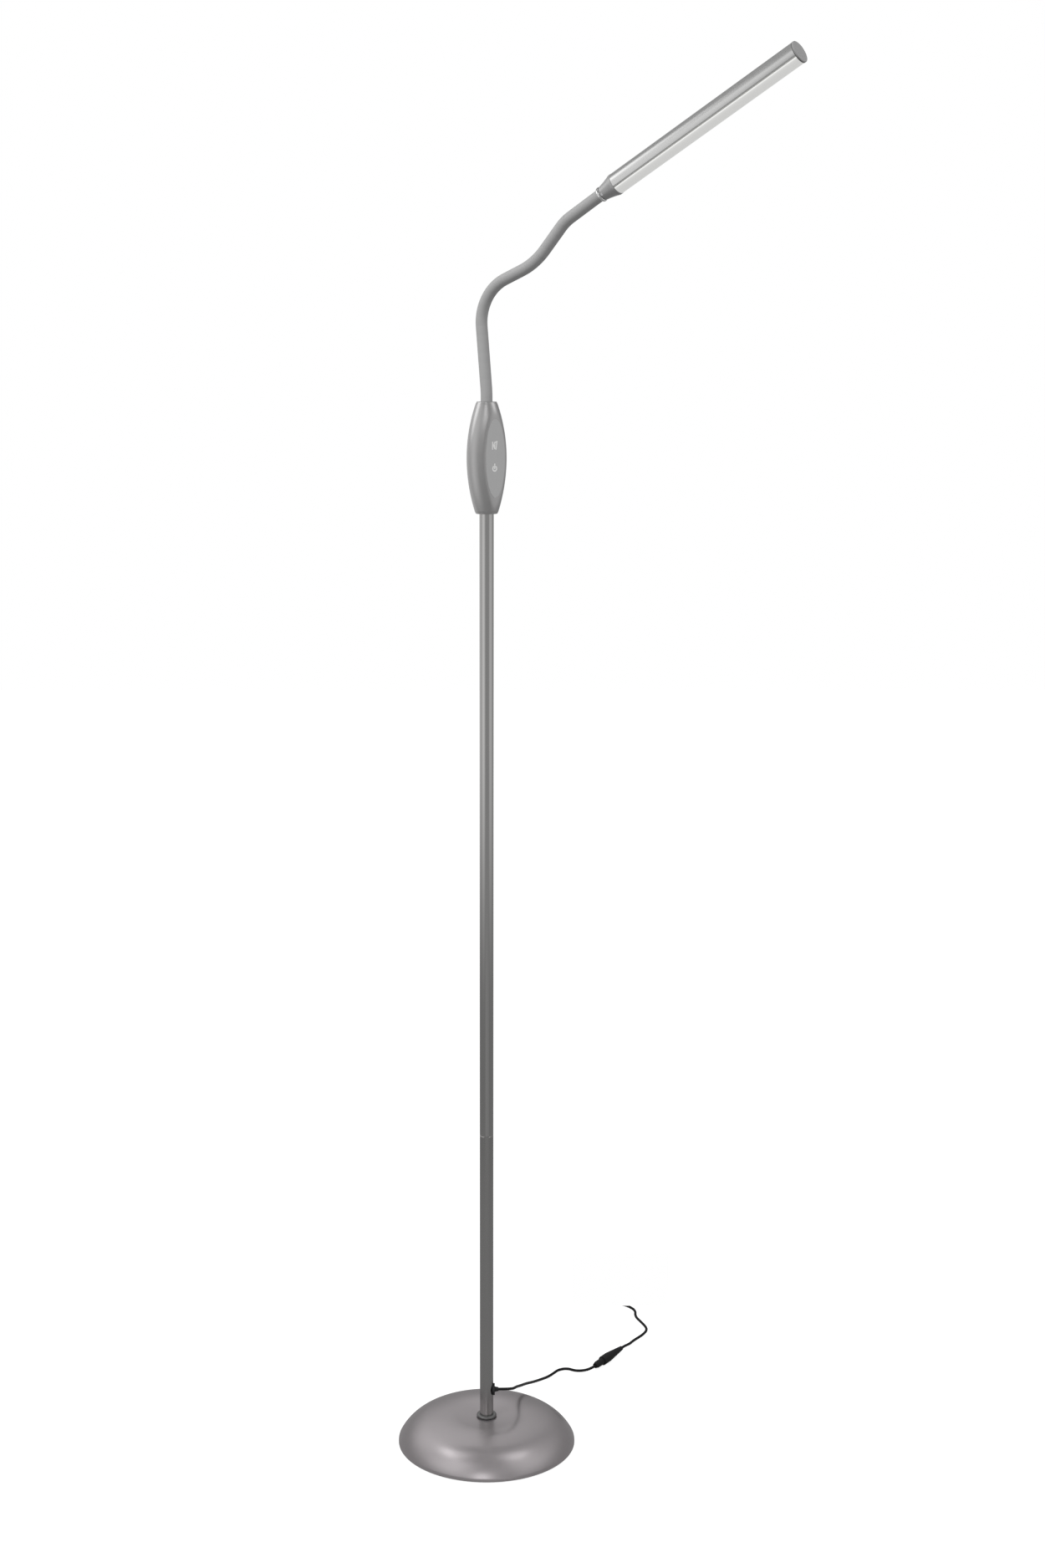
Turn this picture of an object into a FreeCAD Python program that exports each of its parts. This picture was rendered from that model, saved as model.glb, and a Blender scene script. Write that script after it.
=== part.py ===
import FreeCAD, Part
import math
import os

# Gooseneck reading floor lamp: a weighted dome base, a pole in two lengths, a touch control
# housing, a neck that bends and stays, and a slim light head. Sizes are in millimetres.
# The origin is on the floor, on the pole's axis. +X is to the right, +Y to the back, +Z up.

# Fits and clearances
slip = 0.05
seat_gap = 0.3

# Base: a pressed steel cover over a cast iron weight
base_radius = 105.5
base_height = 34.4
crown_radius = 110.0
crown_angle = 14.5
shoulder_radius = 52.0
shoulder_angle = 61.0
rim_radius = 6.0
dish_slope = 5.0
cover_wall = 1.5
rim_lift = 1.5
pad_thickness = 2.0
pad_inset = 6.0
plate_thickness = 1.2
weight_radius = 86.0
weight_thickness = 14.0
weight_bevel = 4.0
boss_radius = 26.0
recess_radius = 14.0
recess_depth = 11.0
plate_screw_count = 3
plate_screw_circle = 62.0
plate_screw_radius = 2.0
plate_screw_head = 4.2
plate_screw_length = 10.0

# Pole bolt, washer and foot collar
bolt_radius = 5.0
bolt_head_across = 16.0
bolt_head_height = 6.4
washer_radius = 10.5
washer_thickness = 2.0
collar_overhang = 3.4
collar_height = 5.0
collar_round = 1.7

# Pole
pole_radius = 8.0
pole_wall = 1.2
lower_pole_length = 354.0
upper_pole_length = 742.0
pole_in_housing = 18.0
joint_bevel = 0.5
foot_plug_length = 22.0
coupler_grip = 25.0
coupler_thread_radius = 5.4
coupler_thread_length = 16.0
socket_length = 20.0

# Cord outlet in the pole
cord_radius = 1.7
outlet_height = 66.5
outlet_flange_radius = 7.0
outlet_flange_depth = 1.8
outlet_stem_radius = 4.4
outlet_nose_length = 4.5
outlet_nose_root = 3.2
outlet_nose_tip = 2.3
inner_bend_radius = 4.6
header_bend_radius = 10.3
header_approach = 4.0
header_step = 9.5

# Control housing
housing_height = 122.6
housing_max_radius = 22.1
housing_top_radius = 11.3
housing_bottom_radius = 12.4
housing_edge_round = 0.8
housing_wall = 2.2
facet_distance = 16.8
facet_round = 2.5
facet_turn = 35.5
panel_margin = 1.6
panel_thickness = 1.2
board_gap = 3.0
board_thickness = 1.6
board_half_width = 9.0
board_end_gap = 3.7
board_post_radius = 2.0
board_post_inset = 4.0
board_post_side = 6.5
board_screw_radius = 1.1
board_screw_head = 2.1
board_screw_head_height = 1.2
key_rise = 12.0
key_spring_radius = 3.6
header_width = 7.0
header_depth = 7.0
header_height = 8.0
header_inset = 2.0
driver_width = 8.0
driver_height = 10.0
driver_depth = 2.2
driver_rise = 4.0
choke_radius = 4.2
choke_depth = 5.0
choke_drop = 6.0
shell_post_gap = 0.8
shell_screw_side = 8.5
shell_screw_radius = 1.5
shell_screw_head = 2.9
shell_screw_head_height = 1.9
shell_screw_grip = 8.0
shell_post_radius = 3.0
rear_post_radius = 3.8
lower_bush_wall = 1.5
upper_bush_wall = 3.2
bush_length = 17.0
rib_thickness = 2.0

# Neck: wound steel core in a smooth rubber sleeve
arm_turn = 35.0
sleeve_radius = 6.5
sleeve_wall = 1.7
core_radius = 4.5
core_bore = 2.2
core_gap = 3.6
core_in_housing = 22.0
core_in_ferrule = 14.0
sleeve_tuck = 2.2
bend_count = 6
neck_corners = [(0.0, 10.0), (-9.9, 117.2), (63.7, 147.0), (101.5, 189.6), (137.3, 210.5)]
neck_radii = [126.0, 49.0, 80.0, 51.0, 100.0]
head_rise = 29.3

# Head
ferrule_from_corner = 10.6
ferrule_length = 18.7
ferrule_rim = 3.0
ferrule_mouth_radius = 7.4
ferrule_mid_radius = 9.1
ferrule_flange_radius = 11.8
head_radius = 11.6
head_length = 239.7
shell_wall = 1.4
shell_lower_edge = 27.0
web_height = 1.6
web_thickness = 1.4
spigot_length = 6.0
diffuser_wall = 1.4
diffuser_leg = 2.2
led_board_width = 14.0
led_board_thickness = 1.2
led_count = 24
led_length = 3.5
led_width = 2.8
led_height = 0.7
cap_thickness = 2.0
cap_radius = 11.8
cap_round = 0.8
grub_screw_radius = 1.6
grub_screw_length = 3.6
grub_screw_from_mouth = 4.4
grub_screw_turn = 20.0

# Connector pair in the lead
connector_start = (139.4, 190.9)
connector_heading = 55.0
connector_axis_height = 6.0
jack_length = 17.0
jack_radius = 4.4
jack_back_radius = 3.3
plug_length = 47.0
plug_radius = 6.0
plug_tip_radius = 2.8
plug_grip = 14.0
jack_taper = 5.0
barrel_radius = 2.75
barrel_length = 9.5
pin_radius = 1.0

# Spare lead wound in a coil
coil_turns = 3.5
coil_outer_radius = 27.7
coil_pitch = 4.4
coil_layer_rise = 4.0
coil_start = (155.0, 398.0)

# Wall adapter
relief_length = 26.0
relief_root_radius = 3.6
relief_tip_radius = 2.3
adapter_length = 62.0
adapter_width = 38.0
adapter_depth = 26.0
adapter_round = 2.0
blade_spacing = 12.7
blade_width = 6.3
blade_thickness = 1.5
blade_length = 17.0

# Routes of the lead, chosen by hand from the photograph
outlet_lead_route = [
    (14.3, 0.0, 66.5), (21.5, 0.0, 66.5), (28.0, 3.8, 65.0), (32.5, 12.0, 61.5),
    (36.0, 30.0, 55.0), (41.0, 56.5, 43.5), (49.0, 87.5, 31.5), (58.0, 118.5, 18.5),
    (68.0, 149.5, 6.8), (77.5, 166.5, 2.2), (84.8, 177.0, 1.7), (92.0, 188.5, 1.7),
    (103.6, 192.6, 1.7), (114.1, 185.0, 1.8), (125.4, 181.1, 4.2), (134.47, 183.86, 6.0),
    (139.4, 190.9, 6.0),
]
supply_lead_route = [
    (176.11, 243.32, 6.0), (180.70, 249.88, 6.0), (188.0, 262.5, 3.0), (194.5, 276.5, 1.7),
    (207.5, 293.0, 1.7), (215.5, 311.0, 1.7), (208.5, 332.5, 1.7), (201.0, 351.5, 1.7),
    (203.0, 370.5, 1.7), (194.5, 384.5, 1.7), (180.5, 394.0, 1.7), (169.5, 398.0, 1.7),
    (158.4, 398.0, 1.7),
]

V = FreeCAD.Vector
UP = V(0, 0, 1)
ORIGIN = V(0, 0, 0)
os.makedirs("parts", exist_ok=True)


def save(name, *solids):
    """Write one sub-part, made of one or more separate solids, to its own STEP file."""
    shape = solids[0] if len(solids) == 1 else Part.makeCompound(list(solids))
    shape.exportStep("parts/" + name + ".step")


def line(a, b):
    return Part.LineSegment(a, b).toShape()


def arc(a, middle, b):
    return Part.Arc(a, middle, b).toShape()


def flat(r, z):
    """A point of a turned piece's outline, at radius r and height z."""
    return V(r, 0, z)


def path(*points):
    """Straight edges from point to point."""
    return [line(a, b) for a, b in zip(points, points[1:])]


def face_of(edges):
    return Part.Face(Part.Wire(Part.sortEdges(edges)[0]))


def turned(edges):
    """A solid turned about the Z axis from a closed outline."""
    return face_of(edges).revolve(ORIGIN, UP, 360)


def rod(radius, low, high):
    return Part.makeCylinder(radius, high - low, V(0, 0, low))


def tube(outer, inner, low, high):
    return rod(outer, low, high).cut(rod(inner, low, high))


def along(shape, start, direction):
    """Move a shape made on the Z axis so that it starts at a point and runs along a direction."""
    turn = FreeCAD.Rotation(UP, direction)
    shape.Placement = FreeCAD.Placement(start, turn).multiply(shape.Placement)
    return shape


def hexagon(across, low, high):
    corner = across / math.sqrt(3)
    points = [V(corner * math.cos(math.radians(60 * k)), corner * math.sin(math.radians(60 * k)), low)
              for k in range(7)]
    return Part.Face(Part.makePolygon(points)).extrude(V(0, 0, high - low))


def screw(head_radius, head_height, shank_radius, length):
    """A domed screw that points down -Z, with the underside of its head at the origin."""
    ball = (head_radius ** 2 + head_height ** 2) / (2 * head_height)
    head = Part.makeSphere(ball, V(0, 0, head_height - ball))
    head = head.common(rod(head_radius + 1, 0, head_height + 1))
    return head.fuse(rod(shank_radius, -length, 0))


# Base outline: a shallow dish round the pole, a wide crown, a round shoulder and a tight rim.
# The three arcs run into one another, so an outline set in by a wall is made of the same arcs.
def turned_by(centre, radius, degrees):
    angle = math.radians(degrees)
    return (centre[0] + radius * math.sin(angle), centre[1] + radius * math.cos(angle))


def reach(degrees_from, degrees_to, radius):
    return radius * (math.sin(math.radians(degrees_to)) - math.sin(math.radians(degrees_from)))


collar_radius = pole_radius + collar_overhang
crown_reach = reach(0, crown_angle, crown_radius)
shoulder_reach = reach(crown_angle, shoulder_angle, shoulder_radius)
rim_reach = reach(shoulder_angle, 90, rim_radius)
apex_radius = base_radius - crown_reach - shoulder_reach - rim_reach
crown_centre = (apex_radius, base_height - crown_radius)
shoulder_centre = turned_by(crown_centre, crown_radius - shoulder_radius, crown_angle)
rim_centre = turned_by(shoulder_centre, shoulder_radius - rim_radius, shoulder_angle)
dish_tangent = math.tan(math.radians(dish_slope))
seat_radius = collar_radius + seat_gap
dish_top = turned_by(crown_centre, crown_radius, -dish_slope)
seat_z = dish_top[1] - (dish_top[0] - seat_radius) * dish_tangent


def dome_arc(centre, radius, degrees_from, degrees_to):
    halfway = (degrees_from + degrees_to) / 2
    marks = [turned_by(centre, radius, degrees) for degrees in (degrees_from, halfway, degrees_to)]
    return arc(*[flat(*mark) for mark in marks])


def seat_corner(inset):
    slope = math.radians(dish_slope)
    return (seat_radius + inset * (1 / math.cos(slope) - 1) / math.tan(slope), seat_z - inset)


def dome_outline(inset, hole_radius, rim_z):
    """Edges of the dome from its central hole out to its rim, set in by a wall."""
    corner = seat_corner(inset)
    dish_end = turned_by(crown_centre, crown_radius - inset, -dish_slope)
    rim_top = turned_by(rim_centre, rim_radius - inset, 90)
    return path(flat(hole_radius, corner[1]), flat(*corner), flat(*dish_end)) + [
        dome_arc(crown_centre, crown_radius - inset, -dish_slope, crown_angle),
        dome_arc(shoulder_centre, shoulder_radius - inset, crown_angle, shoulder_angle),
        dome_arc(rim_centre, rim_radius - inset, shoulder_angle, 90),
        line(flat(*rim_top), flat(rim_top[0], rim_z)),
    ]


def base_cover():
    hole = bolt_radius + seat_gap
    outer = dome_outline(0, hole, rim_lift)
    inner = dome_outline(cover_wall, hole, rim_lift)
    rim = line(flat(base_radius, rim_lift), flat(base_radius - cover_wall, rim_lift))
    edge = line(flat(hole, seat_z), flat(hole, seat_z - cover_wall))
    return turned(outer + inner + [rim, edge])


plate_z = pad_thickness
weight_z = plate_z + plate_thickness
weight_top = weight_z + weight_thickness


def base_weight():
    """Cast iron disc with a boss that carries the cover and a recess for the bolt's head."""
    corner = seat_corner(cover_wall)
    boss_top = corner[1] + (boss_radius - corner[0]) * dish_tangent
    recess_z = weight_z + recess_depth
    bore = bolt_radius + seat_gap
    body = turned(path(
        flat(bore, recess_z), flat(bore, corner[1]), flat(*corner), flat(boss_radius, boss_top),
        flat(boss_radius, weight_top), flat(weight_radius - weight_bevel, weight_top),
        flat(weight_radius, weight_top - weight_bevel), flat(weight_radius, weight_z),
        flat(recess_radius, weight_z), flat(recess_radius, recess_z), flat(bore, recess_z)))
    for x, y in plate_screw_places():
        hole = Part.makeCylinder(plate_screw_radius, plate_screw_length, V(x, y, weight_z))
        body = body.cut(hole)
    return body


def plate_screw_places():
    turns = [2 * math.pi * k / plate_screw_count for k in range(plate_screw_count)]
    return [(plate_screw_circle * math.cos(a), plate_screw_circle * math.sin(a)) for a in turns]


def base_plate():
    plate = rod(base_radius - cover_wall - slip, plate_z, weight_z)
    for x, y in plate_screw_places():
        cone = Part.makeCone(plate_screw_head, plate_screw_radius, plate_thickness, V(x, y, plate_z))
        plate = plate.cut(cone)
    return plate


def base_screws():
    """Countersunk screws, flush with the plate's underside."""
    outline = path(flat(0, 0), flat(plate_screw_head, 0), flat(plate_screw_radius, plate_thickness),
                   flat(plate_screw_radius, plate_screw_length), flat(0, plate_screw_length), flat(0, 0))
    screws = []
    for x, y in plate_screw_places():
        piece = turned(outline)
        piece.translate(V(x, y, plate_z))
        screws.append(piece)
    return screws


save("base_cover", base_cover())
save("base_weight", base_weight())
save("base_plate", base_plate())
save("base_pad", rod(base_radius - pad_inset, 0, pad_thickness))
save("base_screws", *base_screws())


# Pole: two lengths of steel tube, screwed together and bolted to the weight
pole_bore = pole_radius - pole_wall
joint_z = seat_z + lower_pole_length
housing_bottom = seat_z + lower_pole_length + upper_pole_length - pole_in_housing
pole_top = housing_bottom + pole_in_housing
recess_top = weight_z + recess_depth


def pole_collar():
    """Turned ring round the pole's foot, with a round outer edge."""
    inner = pole_radius + slip
    top = seat_z + collar_height
    lean = collar_round * (1 - math.sqrt(0.5))
    edge = arc(flat(collar_radius, top - collar_round), flat(collar_radius - lean, top - lean),
               flat(collar_radius - collar_round, top))
    return turned([edge] + path(flat(collar_radius - collar_round, top), flat(inner, top),
                                flat(inner, seat_z), flat(collar_radius, seat_z),
                                flat(collar_radius, top - collar_round)))


def pole_bolt():
    """Hex head bolt from below, up through the weight and the cover into the pole's foot plug."""
    head_top = recess_top - washer_thickness
    head = hexagon(bolt_head_across, head_top - bolt_head_height, head_top)
    shank = rod(bolt_radius, head_top - 1, seat_z + foot_plug_length - bolt_radius)
    return head.fuse(shank)


def pole_foot_plug():
    body = rod(pole_bore - slip, seat_z, seat_z + foot_plug_length)
    return body.cut(rod(bolt_radius + slip, seat_z, seat_z + foot_plug_length))


def pole_tube(low, high, bevel_low, bevel_high):
    outer = [flat(pole_radius - bevel_low, low), flat(pole_radius, low + bevel_low),
             flat(pole_radius, high - bevel_high), flat(pole_radius - bevel_high, high)]
    corners = []
    for p in [flat(pole_bore, low)] + outer + [flat(pole_bore, high), flat(pole_bore, low)]:
        if not corners or p.distanceToPoint(corners[-1]) > 1e-6:
            corners.append(p)
    return turned(path(*corners))


def pole_lower():
    body = pole_tube(seat_z, joint_z, 0, joint_bevel)
    hole_radius = outlet_stem_radius + slip
    side_hole = Part.makeCylinder(hole_radius, 2 * pole_radius, V(0, 0, outlet_height), V(1, 0, 0))
    return body.cut(side_hole)


def pole_coupler():
    """Plug held in the lower tube, with a hollow thread that the upper tube's socket screws on to."""
    grip = rod(pole_bore - slip, joint_z - coupler_grip, joint_z)
    thread = rod(coupler_thread_radius, joint_z, joint_z + coupler_thread_length)
    hole = rod(cord_radius + seat_gap, joint_z - coupler_grip, joint_z + coupler_thread_length)
    return grip.fuse(thread).cut(hole)


def pole_outlet():
    """Rubber grommet in the pole's side: a saddle flange, a stem in the hole and a tapered nose."""
    def across(radius_a, radius_b, start, length):
        if abs(radius_a - radius_b) < 1e-6:
            return Part.makeCylinder(radius_a, length, V(start, 0, outlet_height), V(1, 0, 0))
        return Part.makeCone(radius_a, radius_b, length, V(start, 0, outlet_height), V(1, 0, 0))
    face = pole_radius + outlet_flange_depth
    flange = across(outlet_flange_radius, outlet_flange_radius, pole_bore, face - pole_bore)
    saddle = rod(pole_radius + slip, outlet_height - pole_radius, outlet_height + pole_radius)
    flange = flange.cut(saddle)
    inside = pole_bore - slip
    stem = across(outlet_stem_radius, outlet_stem_radius, inside, face - inside)
    nose = across(outlet_nose_root, outlet_nose_tip, face, outlet_nose_length)
    return flange.fuse(stem).fuse(nose).removeSplitter()


save("pole_collar", pole_collar())
save("pole_bolt", pole_bolt())
save("bolt_washer", tube(washer_radius, bolt_radius + slip, recess_top - washer_thickness, recess_top))
save("pole_foot_plug", pole_foot_plug())
save("pole_lower", pole_lower())
save("pole_coupler", pole_coupler())
save("pole_socket", tube(pole_bore - slip, coupler_thread_radius + slip,
                         joint_z, joint_z + socket_length))
save("pole_upper", pole_tube(joint_z, pole_top, joint_bevel, 0))
save("pole_outlet", pole_outlet())


# Control housing: two moulded halves, spindle shaped, with a flat facet for the touch panel.
# It is made with the facet towards -Y, and then turned about the pole to face the reader.
housing_top = housing_bottom + housing_height
housing_middle = housing_bottom + housing_height / 2
end_radius = (housing_top_radius + housing_bottom_radius) / 2
spindle_sag = housing_max_radius - end_radius
spindle_bow = (housing_height / 2) ** 2 / (2 * spindle_sag) + spindle_sag / 2
facet_sag = housing_max_radius - facet_distance
facet_half_width = math.sqrt(housing_max_radius ** 2 - facet_distance ** 2)
facet_half_height = math.sqrt(2 * spindle_bow * facet_sag - facet_sag ** 2)
housing_turn = FreeCAD.Rotation(UP, facet_turn)


def faced(shape):
    """Turn a housing piece from -Y to the way that the facet faces."""
    shape.Placement = FreeCAD.Placement(ORIGIN, housing_turn).multiply(shape.Placement)
    return shape


def cut_box(half_x, y_low, y_high, z_low, z_high):
    return Part.makeBox(2 * half_x, y_high - y_low, z_high - z_low, V(-half_x, y_low, z_low))


def spindle(inset, low, high):
    """Turned spindle with the facet cut off, set in by a wall."""
    foot = flat(housing_bottom_radius - inset, housing_bottom)
    waist = flat(housing_max_radius - inset, housing_middle)
    head = flat(housing_top_radius - inset, housing_top)
    body = turned([arc(foot, waist, head)] + path(head, flat(0, housing_top), flat(0, housing_bottom), foot))
    wide = 2 * housing_max_radius
    body = body.common(cut_box(wide, -(facet_distance - inset), wide, low, high))
    return body


def ellipse_plate(half_width, half_height, depth):
    """An oval plate whose outer face lies in the facet, seen from -Y."""
    curve = Part.Ellipse(ORIGIN, half_height, half_width)
    oval = Part.Face(Part.Wire([curve.toShape()])).extrude(V(0, 0, depth))
    stand = FreeCAD.Rotation(V(0, 0, 1), V(1, 0, 0), V(0, 1, 0), "XYZ")
    oval.Placement = FreeCAD.Placement(V(0, -facet_distance, housing_middle), stand)
    return oval


def housing_shell():
    outer = spindle(0, housing_bottom, housing_top)
    rim = [e for e in outer.Edges
           if all(abs(v.Y + facet_distance) < 1e-3 for v in e.Vertexes)
           and abs(e.CenterOfMass.y + facet_distance) < 1e-3]
    outer = outer.makeFillet(facet_round, rim)
    ends = [e for e in outer.Edges
            if min(abs(e.CenterOfMass.z - z) for z in (housing_top, housing_bottom)) < 1e-3]
    outer = outer.makeFillet(housing_edge_round, ends)
    cavity = spindle(housing_wall, housing_bottom + housing_wall, housing_top - housing_wall)
    shell = outer.cut(cavity)
    shell = shell.cut(rod(pole_radius + seat_gap, housing_bottom - 1, housing_middle))
    shell = shell.cut(rod(sleeve_radius + seat_gap, housing_middle, housing_top + 1))
    return shell, cavity


panel_half_width = facet_half_width - panel_margin
panel_half_height = facet_half_height - panel_margin
shell, cavity = housing_shell()
wide = 2 * housing_max_radius
front_half = cut_box(wide, -wide, 0, housing_bottom - 1, housing_top + 1)
rear_half = cut_box(wide, 0, wide, housing_bottom - 1, housing_top + 1)
shell_screw_rise = (housing_height / 2 - housing_wall - bush_length - rib_thickness - shell_post_gap
                    - rear_post_radius)
board_half_height = shell_screw_rise - rear_post_radius - board_end_gap
board_post_rise = board_half_height - board_post_inset
shell_screw_places = [(shell_screw_side, housing_middle - shell_screw_rise),
                      (-shell_screw_side, housing_middle + shell_screw_rise)]
board_front = -(facet_distance - housing_wall - board_gap)
board_back = board_front + board_thickness
header_low = housing_middle - board_half_height + header_inset
board_post_places = [(s * board_post_side, housing_middle + s * board_post_rise) for s in (1, -1)]


def across_y(radius, x, z, y_from, y_to):
    return Part.makeCylinder(radius, y_to - y_from, V(x, y_from, z), V(0, 1, 0))


lower_bush_low = housing_bottom + housing_wall
lower_bush_high = lower_bush_low + bush_length
upper_bush_high = housing_top - housing_wall
upper_bush_low = upper_bush_high - bush_length


def bush_ribs():
    """Rings inside the shells that hold the two bushes against the housing's end walls."""
    lower = tube(wide, pole_radius + seat_gap, lower_bush_high, lower_bush_high + rib_thickness)
    upper = tube(wide, core_radius + seat_gap, upper_bush_low - rib_thickness, upper_bush_low)
    return cavity.common(lower), cavity.common(upper)


def housing_front():
    body = shell.common(front_half)
    for rib in bush_ribs():
        body = body.fuse(rib.common(front_half))
    for x, z in shell_screw_places:
        post = across_y(shell_post_radius, x, z, -wide, 0).common(cavity)
        body = body.fuse(post)
    for x, z in board_post_places:
        post = across_y(board_post_radius, x, z, -wide, board_front).common(cavity)
        body = body.fuse(post)
    for x, z in shell_screw_places:
        body = body.cut(across_y(shell_screw_radius, x, z, -shell_screw_grip, 0))
    for x, z in board_post_places:
        body = body.cut(across_y(board_screw_radius, x, z, board_front - board_gap * 0.8, board_front))
    pocket = ellipse_plate(panel_half_width + slip, panel_half_height + slip, panel_thickness)
    return body.cut(pocket).removeSplitter()


def shell_screw_seat(x):
    """Where a screw's head sits, below the outside of the rear shell at that height."""
    radius = housing_max_radius - spindle_bow + math.sqrt(spindle_bow ** 2 - shell_screw_rise ** 2)
    return math.sqrt(radius ** 2 - x ** 2) - housing_wall - shell_screw_head_height


def housing_rear():
    body = shell.common(rear_half)
    for rib in bush_ribs():
        body = body.fuse(rib.common(rear_half))
    for x, z in shell_screw_places:
        post = across_y(rear_post_radius, x, z, slip, wide).common(cavity.fuse(shell))
        body = body.fuse(post)
    for x, z in shell_screw_places:
        body = body.cut(across_y(shell_screw_head + seat_gap, x, z, shell_screw_seat(x), wide))
        body = body.cut(across_y(shell_screw_radius + slip, x, z, 0, wide))
    return body.removeSplitter()


def housing_screws():
    screws = []
    for x, z in shell_screw_places:
        seat = shell_screw_seat(x)
        length = seat + shell_screw_grip - 1
        piece = screw(shell_screw_head, shell_screw_head_height, shell_screw_radius - slip, length)
        screws.append(faced(along(piece, V(x, seat, z), V(0, 1, 0))))
    return screws


def control_board():
    board = cut_box(board_half_width, board_front, board_back,
                    housing_middle - board_half_height, housing_middle + board_half_height)
    header = cut_box(header_width / 2, board_back, board_back + header_depth,
                     header_low, header_low + header_height)
    driver_low = housing_middle + driver_rise
    driver = cut_box(driver_width / 2, board_back, board_back + driver_depth,
                     driver_low, driver_low + driver_height)
    choke = across_y(choke_radius, 0, housing_middle - choke_drop, board_back, board_back + choke_depth)
    board = board.fuse(header).fuse(driver).fuse(choke)
    for x, z in board_post_places:
        board = board.cut(across_y(board_screw_radius + slip, x, z, board_front - 1, board_back + 1))
    return board


def board_screws():
    screws = []
    for x, z in board_post_places:
        length = board_thickness + board_gap * 0.7
        piece = screw(board_screw_head, board_screw_head_height, board_screw_radius - slip, length)
        screws.append(faced(along(piece, V(x, board_back, z), V(0, 1, 0))))
    return screws


def key_springs():
    """Two sensing pads that press from the board against the inside of the facet."""
    front = board_front - board_gap
    heights = (housing_middle + key_rise, housing_middle - key_rise)
    return [faced(across_y(key_spring_radius, 0, z, front, board_front)) for z in heights]


save("housing_front", faced(housing_front()))
save("housing_rear", faced(housing_rear()))
save("housing_screws", *housing_screws())
save("touch_panel", faced(ellipse_plate(panel_half_width, panel_half_height, panel_thickness)))
save("control_board", faced(control_board()))
save("board_screws", *board_screws())
save("key_springs", *key_springs())
save("lower_bush", tube(pole_radius + lower_bush_wall, pole_radius + slip,
                        lower_bush_low, lower_bush_high))
save("upper_bush", tube(core_radius + upper_bush_wall, core_radius + slip,
                        upper_bush_low, upper_bush_high))


# Bent routes: straight and arc edges in order, measured by the distance along them
def rounded(points, radii):
    """Edges from the first point to the last, with each corner rounded by its radius."""
    edges = []
    at = points[0]
    for before, corner, after, radius in zip(points, points[1:], points[2:], radii):
        come = (corner - before).normalize()
        go = (after - corner).normalize()
        half_turn = come.getAngle(go) / 2
        start = corner - come * (radius * math.tan(half_turn))
        end = corner + go * (radius * math.tan(half_turn))
        bulge = radius / math.cos(half_turn) - radius
        edges += [line(at, start), arc(start, corner + (go - come).normalize() * bulge, end)]
        at = end
    return edges + [line(at, points[-1])]


def stretch(edges, start, end):
    """The part of a route between two distances along it."""
    pieces = []
    for edge in edges:
        low = max(start, 0.0)
        high = min(end, edge.Length)
        if high - low > 1e-6:
            ends = [edge.getParameterByLength(s) for s in (low, high)]
            pieces.append(edge.Curve.toShape(*ends))
        start -= edge.Length
        end -= edge.Length
    return pieces


def spot_on(edges, distance):
    """The point and the direction at a distance along a route."""
    for edge in edges[:-1]:
        if distance <= edge.Length:
            break
        distance -= edge.Length
    else:
        edge = edges[-1]
    where = edge.getParameterByLength(distance)
    return edge.valueAt(where), edge.tangentAt(where)


def pipe(edges, radius):
    """A round rod along a route."""
    first = edges[0]
    start = first.valueAt(first.FirstParameter)
    ring = Part.Wire([Part.makeCircle(radius, start, first.tangentAt(first.FirstParameter))])
    return Part.Wire(edges).makePipeShell([ring], True, False)


# Neck: a wound core that bends and stays, in short lengths with a bend between each pair,
# inside a smooth sleeve. It leaves the housing upwards and leans out in one upright plane.
arm_angle = math.radians(arm_turn)
arm_out = V(math.cos(arm_angle), -math.sin(arm_angle), 0)
arm_side = V(math.sin(arm_angle), math.cos(arm_angle), 0)
head_angle = math.radians(head_rise)
head_axis = arm_out * math.cos(head_angle) + UP * math.sin(head_angle)
head_up = UP * math.cos(head_angle) - arm_out * math.sin(head_angle)
bends = [arm_out * out + UP * (housing_top + rise) for out, rise in neck_corners]
head_start = bends[-1] + head_axis * ferrule_from_corner
neck_start = V(0, 0, housing_top - core_in_housing)
neck_route = rounded([neck_start] + bends + [head_start + head_axis * core_in_ferrule], neck_radii)
neck_length = sum(edge.Length for edge in neck_route)
sleeve_from = core_in_housing - sleeve_tuck
sleeve_to = neck_length - core_in_ferrule + sleeve_tuck
sleeve_length = (sleeve_to - sleeve_from) / bend_count
bend_places = [sleeve_from + sleeve_length * (k + 0.5) for k in range(bend_count)]


def neck_tube(start, end, outer, inner):
    edges = stretch(neck_route, start, end)
    return pipe(edges, outer).cut(pipe(edges, inner))


core_starts = [0.0] + [s + core_gap / 2 for s in bend_places]
core_ends = [s - core_gap / 2 for s in bend_places] + [neck_length]
for k, (start, end) in enumerate(zip(core_starts, core_ends)):
    save("neck_core_" + str(k), neck_tube(start, end, core_radius, core_bore))
for k in range(bend_count):
    start = sleeve_from + sleeve_length * k
    save("neck_sleeve_" + str(k + 1), neck_tube(start, start + sleeve_length, sleeve_radius,
                                               sleeve_radius - sleeve_wall))
for k, distance in enumerate(bend_places):
    place, direction = spot_on(neck_route, distance)
    axis = arm_side if k % 2 == 0 else direction.cross(arm_side)
    print("bend", k + 1, [round(c, 3) for c in place], [round(c, 6) for c in axis])


# Head: made along Z from the ferrule's mouth, with +Y as its upper side, and then placed
head_turn = FreeCAD.Rotation(head_up.cross(head_axis), head_up, head_axis, "ZXY")
shell_start = ferrule_length + ferrule_rim
shell_end = shell_start + head_length - cap_thickness
shell_inside = head_radius - shell_wall


def on_head(shape):
    shape.Placement = FreeCAD.Placement(head_start, head_turn).multiply(shape.Placement)
    return shape


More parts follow.
